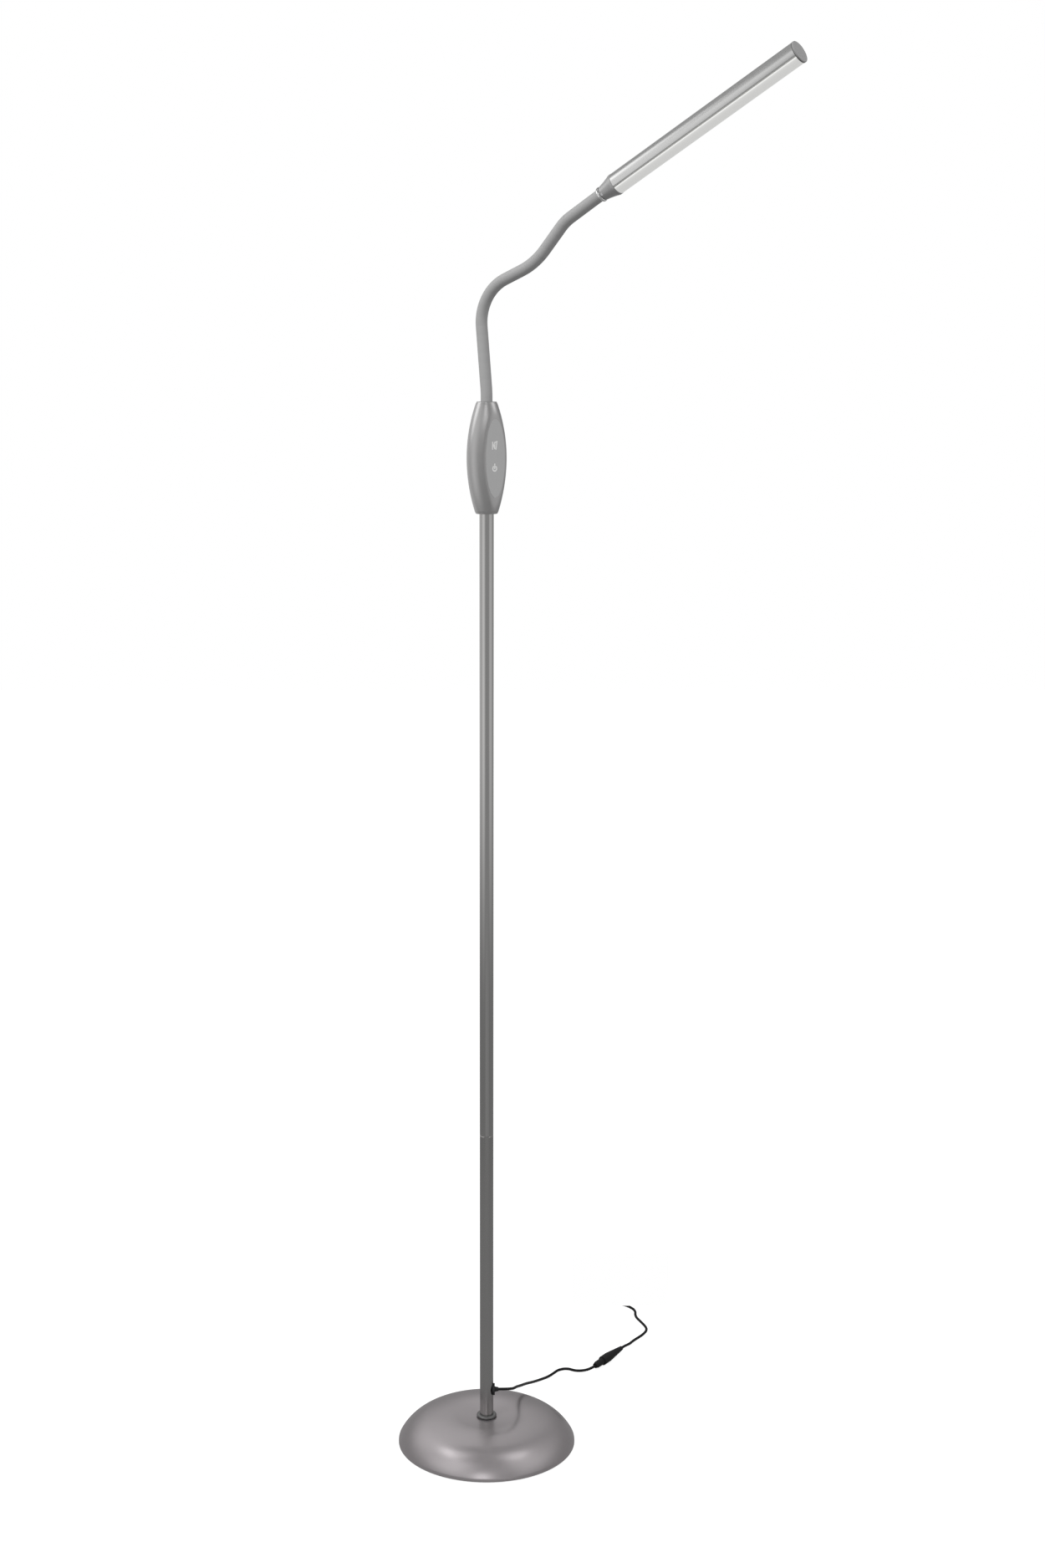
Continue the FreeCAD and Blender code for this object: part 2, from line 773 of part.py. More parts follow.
def bar(half_x, y_low, y_high, z_low, z_high):
    return Part.makeBox(2 * half_x, y_high - y_low, z_high - z_low, V(-half_x, y_low, z_low))


def spigot(low, high):
    """Half disc that fits the shell's upper chamber."""
    floor = web_height + web_thickness + slip
    return rod(shell_inside - slip, low, high).common(bar(head_radius, floor, head_radius, low, high))


def head_ferrule():
    """Turned reducer from the neck's width to the head's, with a bore for the core."""
    flare = arc(flat(ferrule_mouth_radius, 0), flat(ferrule_mid_radius, ferrule_length / 2),
                flat(ferrule_flange_radius, ferrule_length))
    lean = cap_round * (1 - math.sqrt(0.5))
    rim = arc(flat(ferrule_flange_radius, shell_start - cap_round),
              flat(ferrule_flange_radius - lean, shell_start - lean),
              flat(ferrule_flange_radius - cap_round, shell_start))
    body = turned([flare, rim] + path(flat(ferrule_flange_radius, ferrule_length),
                                      flat(ferrule_flange_radius, shell_start - cap_round)) + path(
        flat(ferrule_flange_radius - cap_round, shell_start), flat(core_bore, shell_start),
        flat(core_bore, core_in_ferrule), flat(core_radius + slip, core_in_ferrule),
        flat(core_radius + slip, sleeve_tuck), flat(sleeve_radius + slip, sleeve_tuck),
        flat(sleeve_radius + slip, 0), flat(ferrule_mouth_radius, 0)))
    body = body.fuse(spigot(shell_start, shell_start + spigot_length))
    return body.cut(grub_hole(grub_screw_radius + slip))


def grub_hole(radius):
    """Radial rod through the ferrule's wall on the side that faces the front."""
    tilt = math.radians(grub_screw_turn)
    outward = V(-math.cos(tilt), -math.sin(tilt), 0)
    start = V(0, 0, grub_screw_from_mouth) + outward * (core_radius + slip)
    return Part.makeCylinder(radius, grub_screw_length, start, outward)


def ring_sector(outer, inner, low, high, cut_y, keep_above):
    """The part of a long tube on one side of a level cut."""
    y_low = cut_y if keep_above else -2 * outer
    y_high = 2 * outer if keep_above else cut_y
    return tube(outer, inner, low, high).common(bar(2 * outer, y_low, y_high, low, high))


shell_edge_y = -head_radius * math.sin(math.radians(shell_lower_edge))


def head_shell():
    """Extruded shell over the top of the head, with a level web that carries the light board."""
    shell = ring_sector(head_radius, shell_inside, shell_start, shell_end, shell_edge_y, True)
    web = bar(head_radius, web_height, web_height + web_thickness, shell_start, shell_end)
    web = web.common(rod(shell_inside + shell_wall / 2, shell_start, shell_end))
    return shell.fuse(web).removeSplitter()


def head_diffuser():
    """Bowed plastic cover whose two legs stand inside the shell's lower edges."""
    low = shell_start + slip
    high = shell_end - slip
    edge = shell_edge_y - slip
    inside = shell_inside - diffuser_wall
    bow = ring_sector(head_radius, shell_inside, low, high, edge, False)
    legs = ring_sector(shell_inside - slip, inside, low, high, edge - slip, True)
    legs = legs.common(bar(head_radius, edge - slip, shell_edge_y + diffuser_leg, low, high))
    ledge = ring_sector(shell_inside + slip, inside, low, high, edge, False)
    ledge = ledge.common(bar(head_radius, shell_edge_y - 2 * diffuser_wall, edge, low, high))
    return bow.fuse(ledge).fuse(legs).removeSplitter()


def led_chips():
    pitch = (shell_end - shell_start) / led_count
    board_low = web_height - led_board_thickness
    chips = []
    for k in range(led_count):
        middle = shell_start + pitch * (k + 0.5)
        chips.append(on_head(bar(led_width / 2, board_low - led_height, board_low,
                                 middle - led_length / 2, middle + led_length / 2)))
    return chips


def end_cap():
    """Moulded cap with a rounded outer edge and a spigot in the shell's upper chamber."""
    top = shell_end + cap_thickness
    lean = cap_round * (1 - math.sqrt(0.5))
    side_end = flat(cap_radius, top - cap_round)
    face_start = flat(cap_radius - cap_round, top)
    edge = arc(side_end, flat(cap_radius - lean, top - lean), face_start)
    body = turned([edge] + path(face_start, flat(0, top), flat(0, shell_end), flat(cap_radius, shell_end),
                                side_end))
    return body.fuse(spigot(shell_end - spigot_length, shell_end))


save("head_ferrule", on_head(head_ferrule()))
save("ferrule_screw", on_head(grub_hole(grub_screw_radius)))
save("head_shell", on_head(head_shell()))
save("head_diffuser", on_head(head_diffuser()))
save("led_board", on_head(bar(led_board_width / 2, web_height - led_board_thickness, web_height,
                              shell_start + slip, shell_end - slip)))
save("led_chips", *led_chips())
save("end_cap", on_head(end_cap()))


# Lead: a round cable in free stretches, each made of runs and of arcs as large as the runs allow
def cord(name, points):
    """Make one stretch of the lead, and report its length, its tightest bend and its volume."""
    radii = []
    for before, corner, after in zip(points, points[1:], points[2:]):
        half_turn = (corner - before).getAngle(after - corner) / 2
        shorter = min(corner.distanceToPoint(before), corner.distanceToPoint(after))
        radii.append(0.45 * shorter / math.tan(half_turn))
    finish(name, rounded(points, radii))
    print(name, "radii", [round(r, 1) for r in radii])


def finish(name, edges):
    body = pipe(edges, cord_radius)
    length = sum(edge.Length for edge in edges)
    share = body.Volume / (math.pi * cord_radius ** 2 * length)
    print(name, "length", round(length, 1), "volume share", round(share, 5), "valid", body.isValid())
    save(name, body)


def pole_lead():
    """Lead inside the pole, from the outlet up to the control board's header."""
    stem_end = V(pole_bore - slip, 0, outlet_height)
    header = housing_turn.multVec(V(0, board_back + header_depth / 2, header_low))
    below = header - UP * header_approach
    side_step = V(0, 0, below.z - header_step)
    corners = [stem_end, V(0, 0, outlet_height), side_step, below, header]
    finish("pole_lead", rounded(corners, [inner_bend_radius, header_bend_radius, header_bend_radius]))


pole_lead()
cord("outlet_lead", [V(*p) for p in outlet_lead_route])
cord("supply_lead", [V(*p) for p in supply_lead_route])


# Coil of spare lead: it winds inwards on the floor, climbs a layer and winds out again
def coil_point(turns):
    inward = min(turns, coil_turns)
    outward = max(turns - coil_turns - 0.5, 0)
    climb = min(max(2 * (turns - coil_turns), 0), 1)
    radius = coil_outer_radius - coil_pitch * (inward - outward)
    angle = -math.pi / 2 - 2 * math.pi * turns
    rise = cord_radius + coil_layer_rise * climb * climb * (3 - 2 * climb)
    middle_y = coil_start[1] + coil_outer_radius
    return V(coil_start[0] + radius * math.cos(angle), middle_y + radius * math.sin(angle), rise)


def tangent_arc(start, end, heading):
    """The arc that leaves a start along a heading and reaches an end."""
    chord = end - start
    off = heading - chord * (heading.dot(chord) / chord.dot(chord))
    bulge = chord.Length / 2 * math.tan(heading.getAngle(chord) / 2)
    return arc(start, (start + end) * 0.5 + off.normalize() * bulge, end)


def two_arcs(start, heading, end, leaving):
    """Two arcs that meet smoothly between two points with given headings."""
    across = end - start
    ahead = across.dot(heading + leaving)
    spread = 2 * (1 - heading.dot(leaving))
    arm = (math.sqrt(ahead ** 2 + spread * across.dot(across)) - ahead) / spread
    before = start + heading * arm
    after = end - leaving * arm
    joint = (before + after) * 0.5
    return [tangent_arc(start, joint, heading), tangent_arc(joint, end, (after - before).normalize())]


def coil_heading(turns):
    if turns in (0, all_turns):
        return V(-1, 0, 0) if turns == 0 else V(1, 0, 0)
    step = 0.001
    return (coil_point(turns + step) - coil_point(turns - step)).normalize()


def self_gap(edges):
    """Least gap between two passes of a wound tube."""
    spots = []
    gone = 0.0
    for edge in edges:
        count = max(2, round(edge.Length / 1.5))
        for k in range(count):
            distance = edge.Length * k / count
            spots.append((gone + distance, edge.valueAt(edge.getParameterByLength(distance))))
        gone += edge.Length
    near = [(a.x - b.x) ** 2 + (a.y - b.y) ** 2 + (a.z - b.z) ** 2
            for i, (s, a) in enumerate(spots) for t, b in spots[i + 1:] if t - s > 6 * cord_radius]
    return math.sqrt(min(near)) - 2 * cord_radius


all_turns = 2 * coil_turns + 0.5
stops = [k / 4 for k in range(int(4 * all_turns) + 1)]
coil_end = coil_point(all_turns)
straight = V(2 * cord_radius, 0, 0)
coil_edges = [line(coil_point(0) + straight, coil_point(0))]
for a, b in zip(stops, stops[1:]):
    coil_edges += two_arcs(coil_point(a), coil_heading(a), coil_point(b), coil_heading(b))
coil_edges.append(line(coil_end, coil_end + straight))
finish("cord_coil", coil_edges)
print("cord_coil least gap", round(self_gap(coil_edges), 3))


# Connector pair in the lead: a jack and a plug whose barrel goes into it
def jack():
    mouth = jack_length
    well = mouth - barrel_length - seat_gap
    bore = barrel_radius + slip
    return turned(path(flat(0, 0), flat(jack_back_radius, 0), flat(jack_radius, jack_taper),
                       flat(jack_radius, mouth), flat(bore, mouth), flat(bore, well),
                       flat(pin_radius, well), flat(pin_radius, mouth - 1), flat(0, mouth - 1), flat(0, 0)))


def plug():
    edge = arc(flat(plug_radius - 1, 0), flat(plug_radius - 1 + math.sqrt(0.5), 1 - math.sqrt(0.5)),
               flat(plug_radius, 1))
    bore = pin_radius + slip
    return turned([edge] + path(flat(plug_radius, 1), flat(plug_radius, plug_grip),
                                flat(plug_tip_radius, plug_length), flat(0, plug_length),
                                flat(0, -seat_gap), flat(bore, -seat_gap), flat(bore, -barrel_length),
                                flat(barrel_radius, -barrel_length), flat(barrel_radius, 0),
                                flat(plug_radius - 1, 0)))


connector_turn = math.radians(connector_heading)
connector_way = V(math.cos(connector_turn), math.sin(connector_turn), 0)
jack_start = V(*connector_start, connector_axis_height)
save("dc_jack", along(jack(), jack_start, connector_way))
save("dc_plug", along(plug(), jack_start + connector_way * jack_length, connector_way))

# Wall adapter at the lead's end, on its back with its blades up
relief_tip = coil_end + straight
relief = Part.makeCone(relief_tip_radius, relief_root_radius, relief_length, relief_tip, V(1, 0, 0))
adapter_x = relief_tip.x + relief_length
adapter_corner = V(adapter_x, coil_end.y - adapter_width / 2, 0)
adapter = Part.makeBox(adapter_length, adapter_width, adapter_depth, adapter_corner)
adapter = adapter.makeFillet(adapter_round, adapter.Edges)
blade_x = adapter_x + adapter_length / 2 - blade_width / 2
blade_rows = [coil_end.y + s * blade_spacing / 2 - blade_thickness / 2 for s in (1, -1)]
blades = [Part.makeBox(blade_width, blade_thickness, blade_length, V(blade_x, y, adapter_depth))
          for y in blade_rows]
save("adapter_relief", relief)
save("wall_adapter", adapter)
save("adapter_blades", *blades)
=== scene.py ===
import math

import bmesh
import bpy
from mathutils import Matrix, Vector
from mathutils.kdtree import KDTree


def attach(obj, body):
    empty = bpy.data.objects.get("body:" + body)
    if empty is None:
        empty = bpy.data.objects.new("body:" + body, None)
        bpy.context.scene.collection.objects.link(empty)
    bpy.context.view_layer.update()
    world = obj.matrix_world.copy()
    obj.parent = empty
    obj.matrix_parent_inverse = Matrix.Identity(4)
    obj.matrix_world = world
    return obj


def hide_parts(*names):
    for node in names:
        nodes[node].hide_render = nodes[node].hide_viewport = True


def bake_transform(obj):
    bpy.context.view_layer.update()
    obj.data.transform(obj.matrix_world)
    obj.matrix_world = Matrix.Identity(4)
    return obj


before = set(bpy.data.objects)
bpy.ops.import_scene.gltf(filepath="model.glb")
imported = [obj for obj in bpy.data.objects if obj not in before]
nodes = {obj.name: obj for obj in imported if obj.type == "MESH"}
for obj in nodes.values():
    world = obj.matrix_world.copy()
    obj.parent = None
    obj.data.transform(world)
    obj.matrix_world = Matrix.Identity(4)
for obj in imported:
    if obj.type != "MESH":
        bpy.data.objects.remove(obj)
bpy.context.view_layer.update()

# Camera
# The photograph was taken from about the height of the neck's foot, tilted down by eleven
# degrees, and it holds the pole a little left of its middle.
eye = bpy.data.cameras.new("eye")
eye.sensor_width = 36.0
eye.lens = 52.31
eye.shift_x = 0.0229
camera = bpy.data.objects.new("eye", eye)
camera.location = (0.0, -2.539, 1.2978)
camera.rotation_euler = (math.radians(79.0), 0.0, 0.0)
bpy.context.scene.collection.objects.link(camera)
bpy.context.scene.camera = camera

# Studio
# A white sheet of floor under soft light from both sides, with more from the left. The room is
# plain grey with bright windows high in front and overhead, which the polished pieces reflect.
scene = bpy.context.scene
scene.view_settings.view_transform = "Standard"


def plain_mesh(name, corners, faces):
    """An object in the scene from corner points and faces."""
    mesh = bpy.data.meshes.new(name)
    mesh.from_pydata(corners, [], faces)
    mesh.update()
    thing = bpy.data.objects.new(name, mesh)
    scene.collection.objects.link(thing)
    return thing


softbox_side = 2.2
softbox_aim = Vector((0.0, 0.0, 0.4))


def softbox(name, place, power):
    """A large square light that points low at the pole."""
    lamp = bpy.data.lights.new(name, "AREA")
    lamp.shape = "RECTANGLE"
    lamp.size = softbox_side
    lamp.size_y = softbox_side
    lamp.energy = power
    holder = bpy.data.objects.new(name, lamp)
    holder.location = place
    holder.rotation_euler = (softbox_aim - Vector(place)).to_track_quat("-Z", "Y").to_euler()
    holder.visible_glossy = False
    scene.collection.objects.link(holder)


def stage_paper(name):
    """A material for the stage with no shader yet, whose glow is never sampled as a light."""
    paper = bpy.data.materials.new(name)
    paper.use_nodes = True
    paper.cycles.emission_sampling = "NONE"
    paper.node_tree.nodes.remove(paper.node_tree.nodes["Principled BSDF"])
    return paper, paper.node_tree.nodes, paper.node_tree.links.new


def set_stops(ramp, stops):
    """Grey levels along a colour ramp."""
    for count, (spot, level) in enumerate(stops):
        mark = ramp.color_ramp.elements[count] if count < 2 else ramp.color_ramp.elements.new(spot)
        mark.position = spot
        mark.color = (level, level, level, 1.0)


def grey_over(parts, link, under, level, value, none_at, all_at):
    """A grey level laid over a colour, with a soft edge between two bounds of a value."""
    share = parts.new("ShaderNodeMapRange")
    share.interpolation_type = "SMOOTHSTEP"
    share.inputs["From Min"].default_value = none_at
    share.inputs["From Max"].default_value = all_at
    link(value, share.inputs["Value"])
    over = parts.new("ShaderNodeMix")
    over.data_type = "RGBA"
    over.inputs["B"].default_value = (level, level, level, 1.0)
    link(share.outputs["Result"], over.inputs["Factor"])
    link(under, over.inputs["A"])
    return over.outputs["Result"]


def kinds_of_ray(parts, link):
    """Whether a ray comes straight from the camera, and whether by way of metal or clear plastic."""
    ray = parts.new("ShaderNodeLightPath")
    sent_on = parts.new("ShaderNodeMath")
    sent_on.operation = "MAXIMUM"
    link(ray.outputs["Is Glossy Ray"], sent_on.inputs[0])
    link(ray.outputs["Is Transmission Ray"], sent_on.inputs[1])
    return ray.outputs["Is Camera Ray"], sent_on.outputs["Value"]


room = bpy.data.worlds.new("room")
room.use_nodes = True
scene.world = room
room.cycles.sampling_method = "NONE"
room_nodes = room.node_tree.nodes
room_link = room.node_tree.links.new
backdrop_light = room_nodes["Background"]
heading = room_nodes.new("ShaderNodeTexCoord")
parts_of_heading = room_nodes.new("ShaderNodeSeparateXYZ")
room_link(heading.outputs["Generated"], parts_of_heading.inputs["Vector"])
height_place = room_nodes.new("ShaderNodeMapRange")
height_place.inputs["From Min"].default_value = -1.0
room_link(parts_of_heading.outputs["Z"], height_place.inputs["Value"])
above_and_below = room_nodes.new("ShaderNodeValToRGB")
set_stops(above_and_below, [(0.25, 0.3), (0.47, 0.44), (0.65, 0.44), (0.78, 0.32), (0.85, 0.45),
                            (0.965, 0.3)])
room_link(height_place.outputs["Result"], above_and_below.inputs["Fac"])
room_glow = above_and_below.outputs["Color"]

# Each window has its direction, how many degrees from its middle it fades out and is full, and
# its level.
front_window = ((-0.09, -0.84, 0.53), 13, 5, 2.0)
left_skylight = ((-0.4, 0.02, 0.915), 14, 4, 1.2)
right_skylight = ((0.38, -0.03, 0.925), 14, 4, 1.3)
for toward, faint_from, full_within, level in (front_window, left_skylight, right_skylight):
    facing = room_nodes.new("ShaderNodeVectorMath")
    facing.operation = "DOT_PRODUCT"
    facing.inputs[1].default_value = Vector(toward).normalized()
    room_link(heading.outputs["Generated"], facing.inputs[0])
    room_glow = grey_over(room_nodes, room_link, room_glow, level, facing.outputs["Value"],
                          math.cos(math.radians(faint_from)), math.cos(math.radians(full_within)))
seen_by_camera, seen_in_metal = kinds_of_ray(room_nodes, room_link)
fill_level = 0.41
fill_or_room = room_nodes.new("ShaderNodeMix")
fill_or_room.data_type = "RGBA"
fill_or_room.inputs["A"].default_value = (fill_level, fill_level, fill_level, 1.0)
room_link(seen_in_metal, fill_or_room.inputs["Factor"])
room_link(room_glow, fill_or_room.inputs["B"])
white_or_room = room_nodes.new("ShaderNodeMix")
white_or_room.data_type = "RGBA"
white_or_room.inputs["B"].default_value = (1.0, 1.0, 1.0, 1.0)
room_link(seen_by_camera, white_or_room.inputs["Factor"])
room_link(fill_or_room.outputs["Result"], white_or_room.inputs["A"])
room_link(white_or_room.outputs["Result"], backdrop_light.inputs["Color"])

# A round screen stands a metre off, open towards the camera. Only polished pieces see it: its
# lit middle draws the bands on the pole and the base, and two bright patches those on the head.
screen_paper, screen_nodes, screen_link = stage_paper("screen_paper")
spot_on_screen = screen_nodes.new("ShaderNodeTexCoord")
parts_of_spot = screen_nodes.new("ShaderNodeSeparateXYZ")
screen_link(spot_on_screen.outputs["Object"], parts_of_spot.inputs["Vector"])
forward = screen_nodes.new("ShaderNodeMath")
forward.operation = "MULTIPLY"
forward.inputs[1].default_value = -1.0
screen_link(parts_of_spot.outputs["Y"], forward.inputs[0])
bearing = screen_nodes.new("ShaderNodeMath")
bearing.operation = "ARCTAN2"
screen_link(parts_of_spot.outputs["X"], bearing.inputs[0])
screen_link(forward.outputs["Value"], bearing.inputs[1])
turn_share = screen_nodes.new("ShaderNodeMapRange")
turn_share.inputs["From Min"].default_value = -math.pi
turn_share.inputs["From Max"].default_value = math.pi
screen_link(bearing.outputs["Value"], turn_share.inputs["Value"])
walls = screen_nodes.new("ShaderNodeValToRGB")

# Bearings on the screen, in degrees from the camera's side, and the grey level at each.
wall_stops = [(-180, 0.63), (-125, 0.8), (-95, 0.62), (-62, 0.95), (-50, 1.0), (-38, 0.9), (-20, 0.52),
              (37, 0.45), (46, 0.68), (74, 0.78), (108, 0.5), (142, 0.34), (180, 0.63)]
set_stops(walls, [(degrees / 360 + 0.5, level) for degrees, level in wall_stops])
screen_link(turn_share.outputs["Result"], walls.inputs["Fac"])
glow = walls.outputs["Color"]

# Each dim zone has the heights in metres where it starts and is full, and its level.
dim_foot = (0.72, 0.2, 0.27)
dim_top = (1.75, 2.15, 0.34)
for none_at, all_at, level in (dim_foot, dim_top):
    glow = grey_over(screen_nodes, screen_link, glow, level, parts_of_spot.outputs["Z"], none_at, all_at)
patch_edge = 0.56
patch_core = 0.2
for middle, level in (((-0.99, 0.12, 1.82), 2.3), ((1.0, -0.12, 2.04), 1.9)):
    away = screen_nodes.new("ShaderNodeVectorMath")
    away.operation = "DISTANCE"
    away.inputs[1].default_value = middle
    screen_link(spot_on_screen.outputs["Object"], away.inputs[0])
    glow = grey_over(screen_nodes, screen_link, glow, level, away.outputs["Value"], patch_edge, patch_core)
screen_glow = screen_nodes.new("ShaderNodeEmission")
screen_link(glow, screen_glow.inputs["Color"])
screen_link(screen_glow.outputs["Emission"], screen_nodes["Material Output"].inputs["Surface"])
screen_from, screen_span, screen_steps = 37, 303, 60
screen_foot, screen_top = 0.001, 2.3
screen_turns = [math.radians(screen_from + screen_span * k / screen_steps) for k in range(screen_steps + 1)]
screen_corners = [(math.sin(a), -math.cos(a), z) for a in screen_turns for z in (screen_foot, screen_top)]
screen_faces = [(2 * k, 2 * k + 1, 2 * k + 3, 2 * k + 2) for k in range(screen_steps)]
screen = plain_mesh("screen", screen_corners, screen_faces)
screen.data.materials.append(screen_paper)
screen.visible_camera = False
screen.visible_diffuse = False
screen.visible_shadow = False

softbox("left_softbox", (-3.55, -2.75, 5.4), 240.0)
softbox("right_softbox", (3.6, -2.7, 5.4), 100.0)

floor_paper, paper_nodes, paper_link = stage_paper("floor_paper")
floor_tone = 0.3
floor_lift = 0.88
floor_lift_in_metal = 0.05
matt = paper_nodes.new("ShaderNodeBsdfDiffuse")
matt.inputs["Color"].default_value = (floor_tone, floor_tone, floor_tone, 1.0)
lift = paper_nodes.new("ShaderNodeEmission")
seen_by_camera, seen_in_metal = kinds_of_ray(paper_nodes, paper_link)
lift_in_metal = paper_nodes.new("ShaderNodeMath")
lift_in_metal.operation = "MULTIPLY"
lift_in_metal.inputs[1].default_value = floor_lift_in_metal
paper_link(seen_in_metal, lift_in_metal.inputs[0])
lift_level = paper_nodes.new("ShaderNodeMath")
lift_level.operation = "MULTIPLY_ADD"
lift_level.inputs[1].default_value = floor_lift
paper_link(seen_by_camera, lift_level.inputs[0])
paper_link(lift_in_metal.outputs["Value"], lift_level.inputs[2])
paper_link(lift_level.outputs["Value"], lift.inputs["Strength"])
both = paper_nodes.new("ShaderNodeAddShader")
paper_link(matt.outputs["BSDF"], both.inputs[0])
paper_link(lift.outputs["Emission"], both.inputs[1])
paper_link(both.outputs["Shader"], paper_nodes["Material Output"].inputs["Surface"])
floor_side, floor_front, floor_back = 2.4, -2.2, 6
floor = plain_mesh("floor", [(-floor_side, floor_front, 0), (floor_side, floor_front, 0),
                             (floor_side, floor_back, 0), (-floor_side, floor_back, 0)], [(0, 1, 2, 3)])
floor.data.materials.append(floor_paper)

# A small white card stands on edge far behind the base. The lead runs on behind it, as the
# photograph loses the lead there, and from behind the card is clear.
card_white, card_nodes, card_link = stage_paper("card_white")
white = card_nodes.new("ShaderNodeEmission")
clear = card_nodes.new("ShaderNodeBsdfTransparent")
side = card_nodes.new("ShaderNodeNewGeometry")
either = card_nodes.new("ShaderNodeMixShader")
card_link(side.outputs["Backfacing"], either.inputs["Fac"])
card_link(white.outputs["Emission"], either.inputs[1])
card_link(clear.outputs["BSDF"], either.inputs[2])
card_link(either.outputs["Shader"], card_nodes["Material Output"].inputs["Surface"])
card_left, card_right, card_back = 0.116, 0.25, 0.381
card_foot, card_top = 0.004, 0.082
card = plain_mesh("card", [(card_left, card_back, card_foot), (card_right, card_back, card_foot),
                           (card_right, card_back, card_top), (card_left, card_back, card_top)],
                  [(0, 1, 2, 3)])
card.data.materials.append(card_white)
card.visible_diffuse = False
card.visible_glossy = False
card.visible_shadow = False
card.visible_transmission = False

# Base
# A dome pressed from sheet steel and painted warm grey. It covers a cast iron weight, and a thin
# steel plate with a soft pad under it closes it from below, held by three countersunk screws.


gloss_swing = 0.15
cloud_size = 12


def surface(name, colour, roughness, metallic=0.0, unevenness=0.06, grain=700.0, relief=0.02,
            lie=(1.0, 1.0, 1.0)):
    """A finish whose colour, gloss and skin vary a little, in a pattern fixed to the piece.

    The grain is in specks per metre, each cloud of colour is as wide as twelve of them, and the
    relief is the depth of the skin in millimetres.
    """
    finish = bpy.data.materials.new(name)
    finish.use_nodes = True
    parts = finish.node_tree.nodes
    link = finish.node_tree.links.new
    shader = parts["Principled BSDF"]
    shader.inputs["Metallic"].default_value = metallic
    where = parts.new("ShaderNodeTexCoord")
    laid = parts.new("ShaderNodeMapping")
    laid.inputs["Scale"].default_value = lie
    link(where.outputs["Object"], laid.inputs["Vector"])
    cloud = parts.new("ShaderNodeTexNoise")
    cloud.inputs["Scale"].default_value = grain / cloud_size
    cloud.inputs["Detail"].default_value = 4.0
    link(laid.outputs["Vector"], cloud.inputs["Vector"])
    tint = parts.new("ShaderNodeMix")
    tint.data_type = "RGBA"
    tint.inputs["A"].default_value = [c * (1 - unevenness) for c in colour] + [1.0]
    tint.inputs["B"].default_value = [min(1.0, c * (1 + unevenness)) for c in colour] + [1.0]
    link(cloud.outputs["Fac"], tint.inputs["Factor"])
    link(tint.outputs["Result"], shader.inputs["Base Color"])
    gloss = parts.new("ShaderNodeMapRange")
    gloss.inputs["To Min"].default_value = roughness * (1 - gloss_swing)
    gloss.inputs["To Max"].default_value = roughness * (1 + gloss_swing)
    link(cloud.outputs["Fac"], gloss.inputs["Value"])
    link(gloss.outputs["Result"], shader.inputs["Roughness"])
    skin = parts.new("ShaderNodeTexNoise")
    skin.inputs["Scale"].default_value = grain
    skin.inputs["Detail"].default_value = 3.0
    link(laid.outputs["Vector"], skin.inputs["Vector"])
    dents = parts.new("ShaderNodeBump")
    dents.inputs["Strength"].default_value = 0.6
    dents.inputs["Distance"].default_value = relief / 1000
    link(skin.outputs["Fac"], dents.inputs["Height"])
    link(dents.outputs["Normal"], shader.inputs["Normal"])
    return finish


def wear(thing, finish):
    """Give a piece one finish."""
    thing.data.materials.clear()
    thing.data.materials.append(finish)


sharp_turn = math.radians(32)


def turned_piece(name, outline, steps=96, stand=Matrix.Identity(4)):
    """A ring turned about an axis from the points of its closed outline, at radius and height."""
    mesh = bmesh.new()
    turns = [2 * math.pi * k / steps for k in range(steps)]
    rings = [[mesh.verts.new((radius * math.cos(a), radius * math.sin(a), height)) for a in turns]
             for radius, height in outline]
    for lower, upper in zip(rings, rings[1:] + rings[:1]):
        for k in range(steps):
            after = (k + 1) % steps
            mesh.faces.new((lower[k], lower[after], upper[after], upper[k]))
    return finished(name, mesh, stand)


def finished(name, mesh, stand):
    """A closed mesh made into a piece, smooth but for its sharp edges, and put in its place."""
    mesh.transform(stand)
    bmesh.ops.recalc_face_normals(mesh, faces=mesh.faces)
    for face in mesh.faces:
        face.smooth = True
    shape = bpy.data.meshes.new(name)
    mesh.to_mesh(shape)
    mesh.free()
    shape.set_sharp_from_angle(angle=sharp_turn)
    thing = bpy.data.objects.new(name, shape)
    scene.collection.objects.link(thing)
    return thing


def arc_points(middle, radius, angle_from, angle_to, count):
    """Points on an arc of an outline. The angles are in degrees from upright, towards the rim."""
    angles = [math.radians(angle_from + (angle_to - angle_from) * k / count) for k in range(count + 1)]
    return [(middle[0] + radius * math.sin(a), middle[1] + radius * math.cos(a)) for a in angles]


def arc_inside(arc, radius, turn):
    """A smaller arc that takes over from a larger one at a turn, with no corner between them."""
    reach = arc[2] - radius
    a = math.radians(turn)
    return (arc[0] + reach * math.sin(a), arc[1] + reach * math.cos(a), radius)


base_radius = 0.1055
base_wall = 0.0015
base_foot = 0.0015
seat_height = 0.031929
seat_radius = 0.0117
bolt_hole = 0.0053
dish_turn, crown_turn, shoulder_turn, rim_turn = -5, 14.5, 61, 90

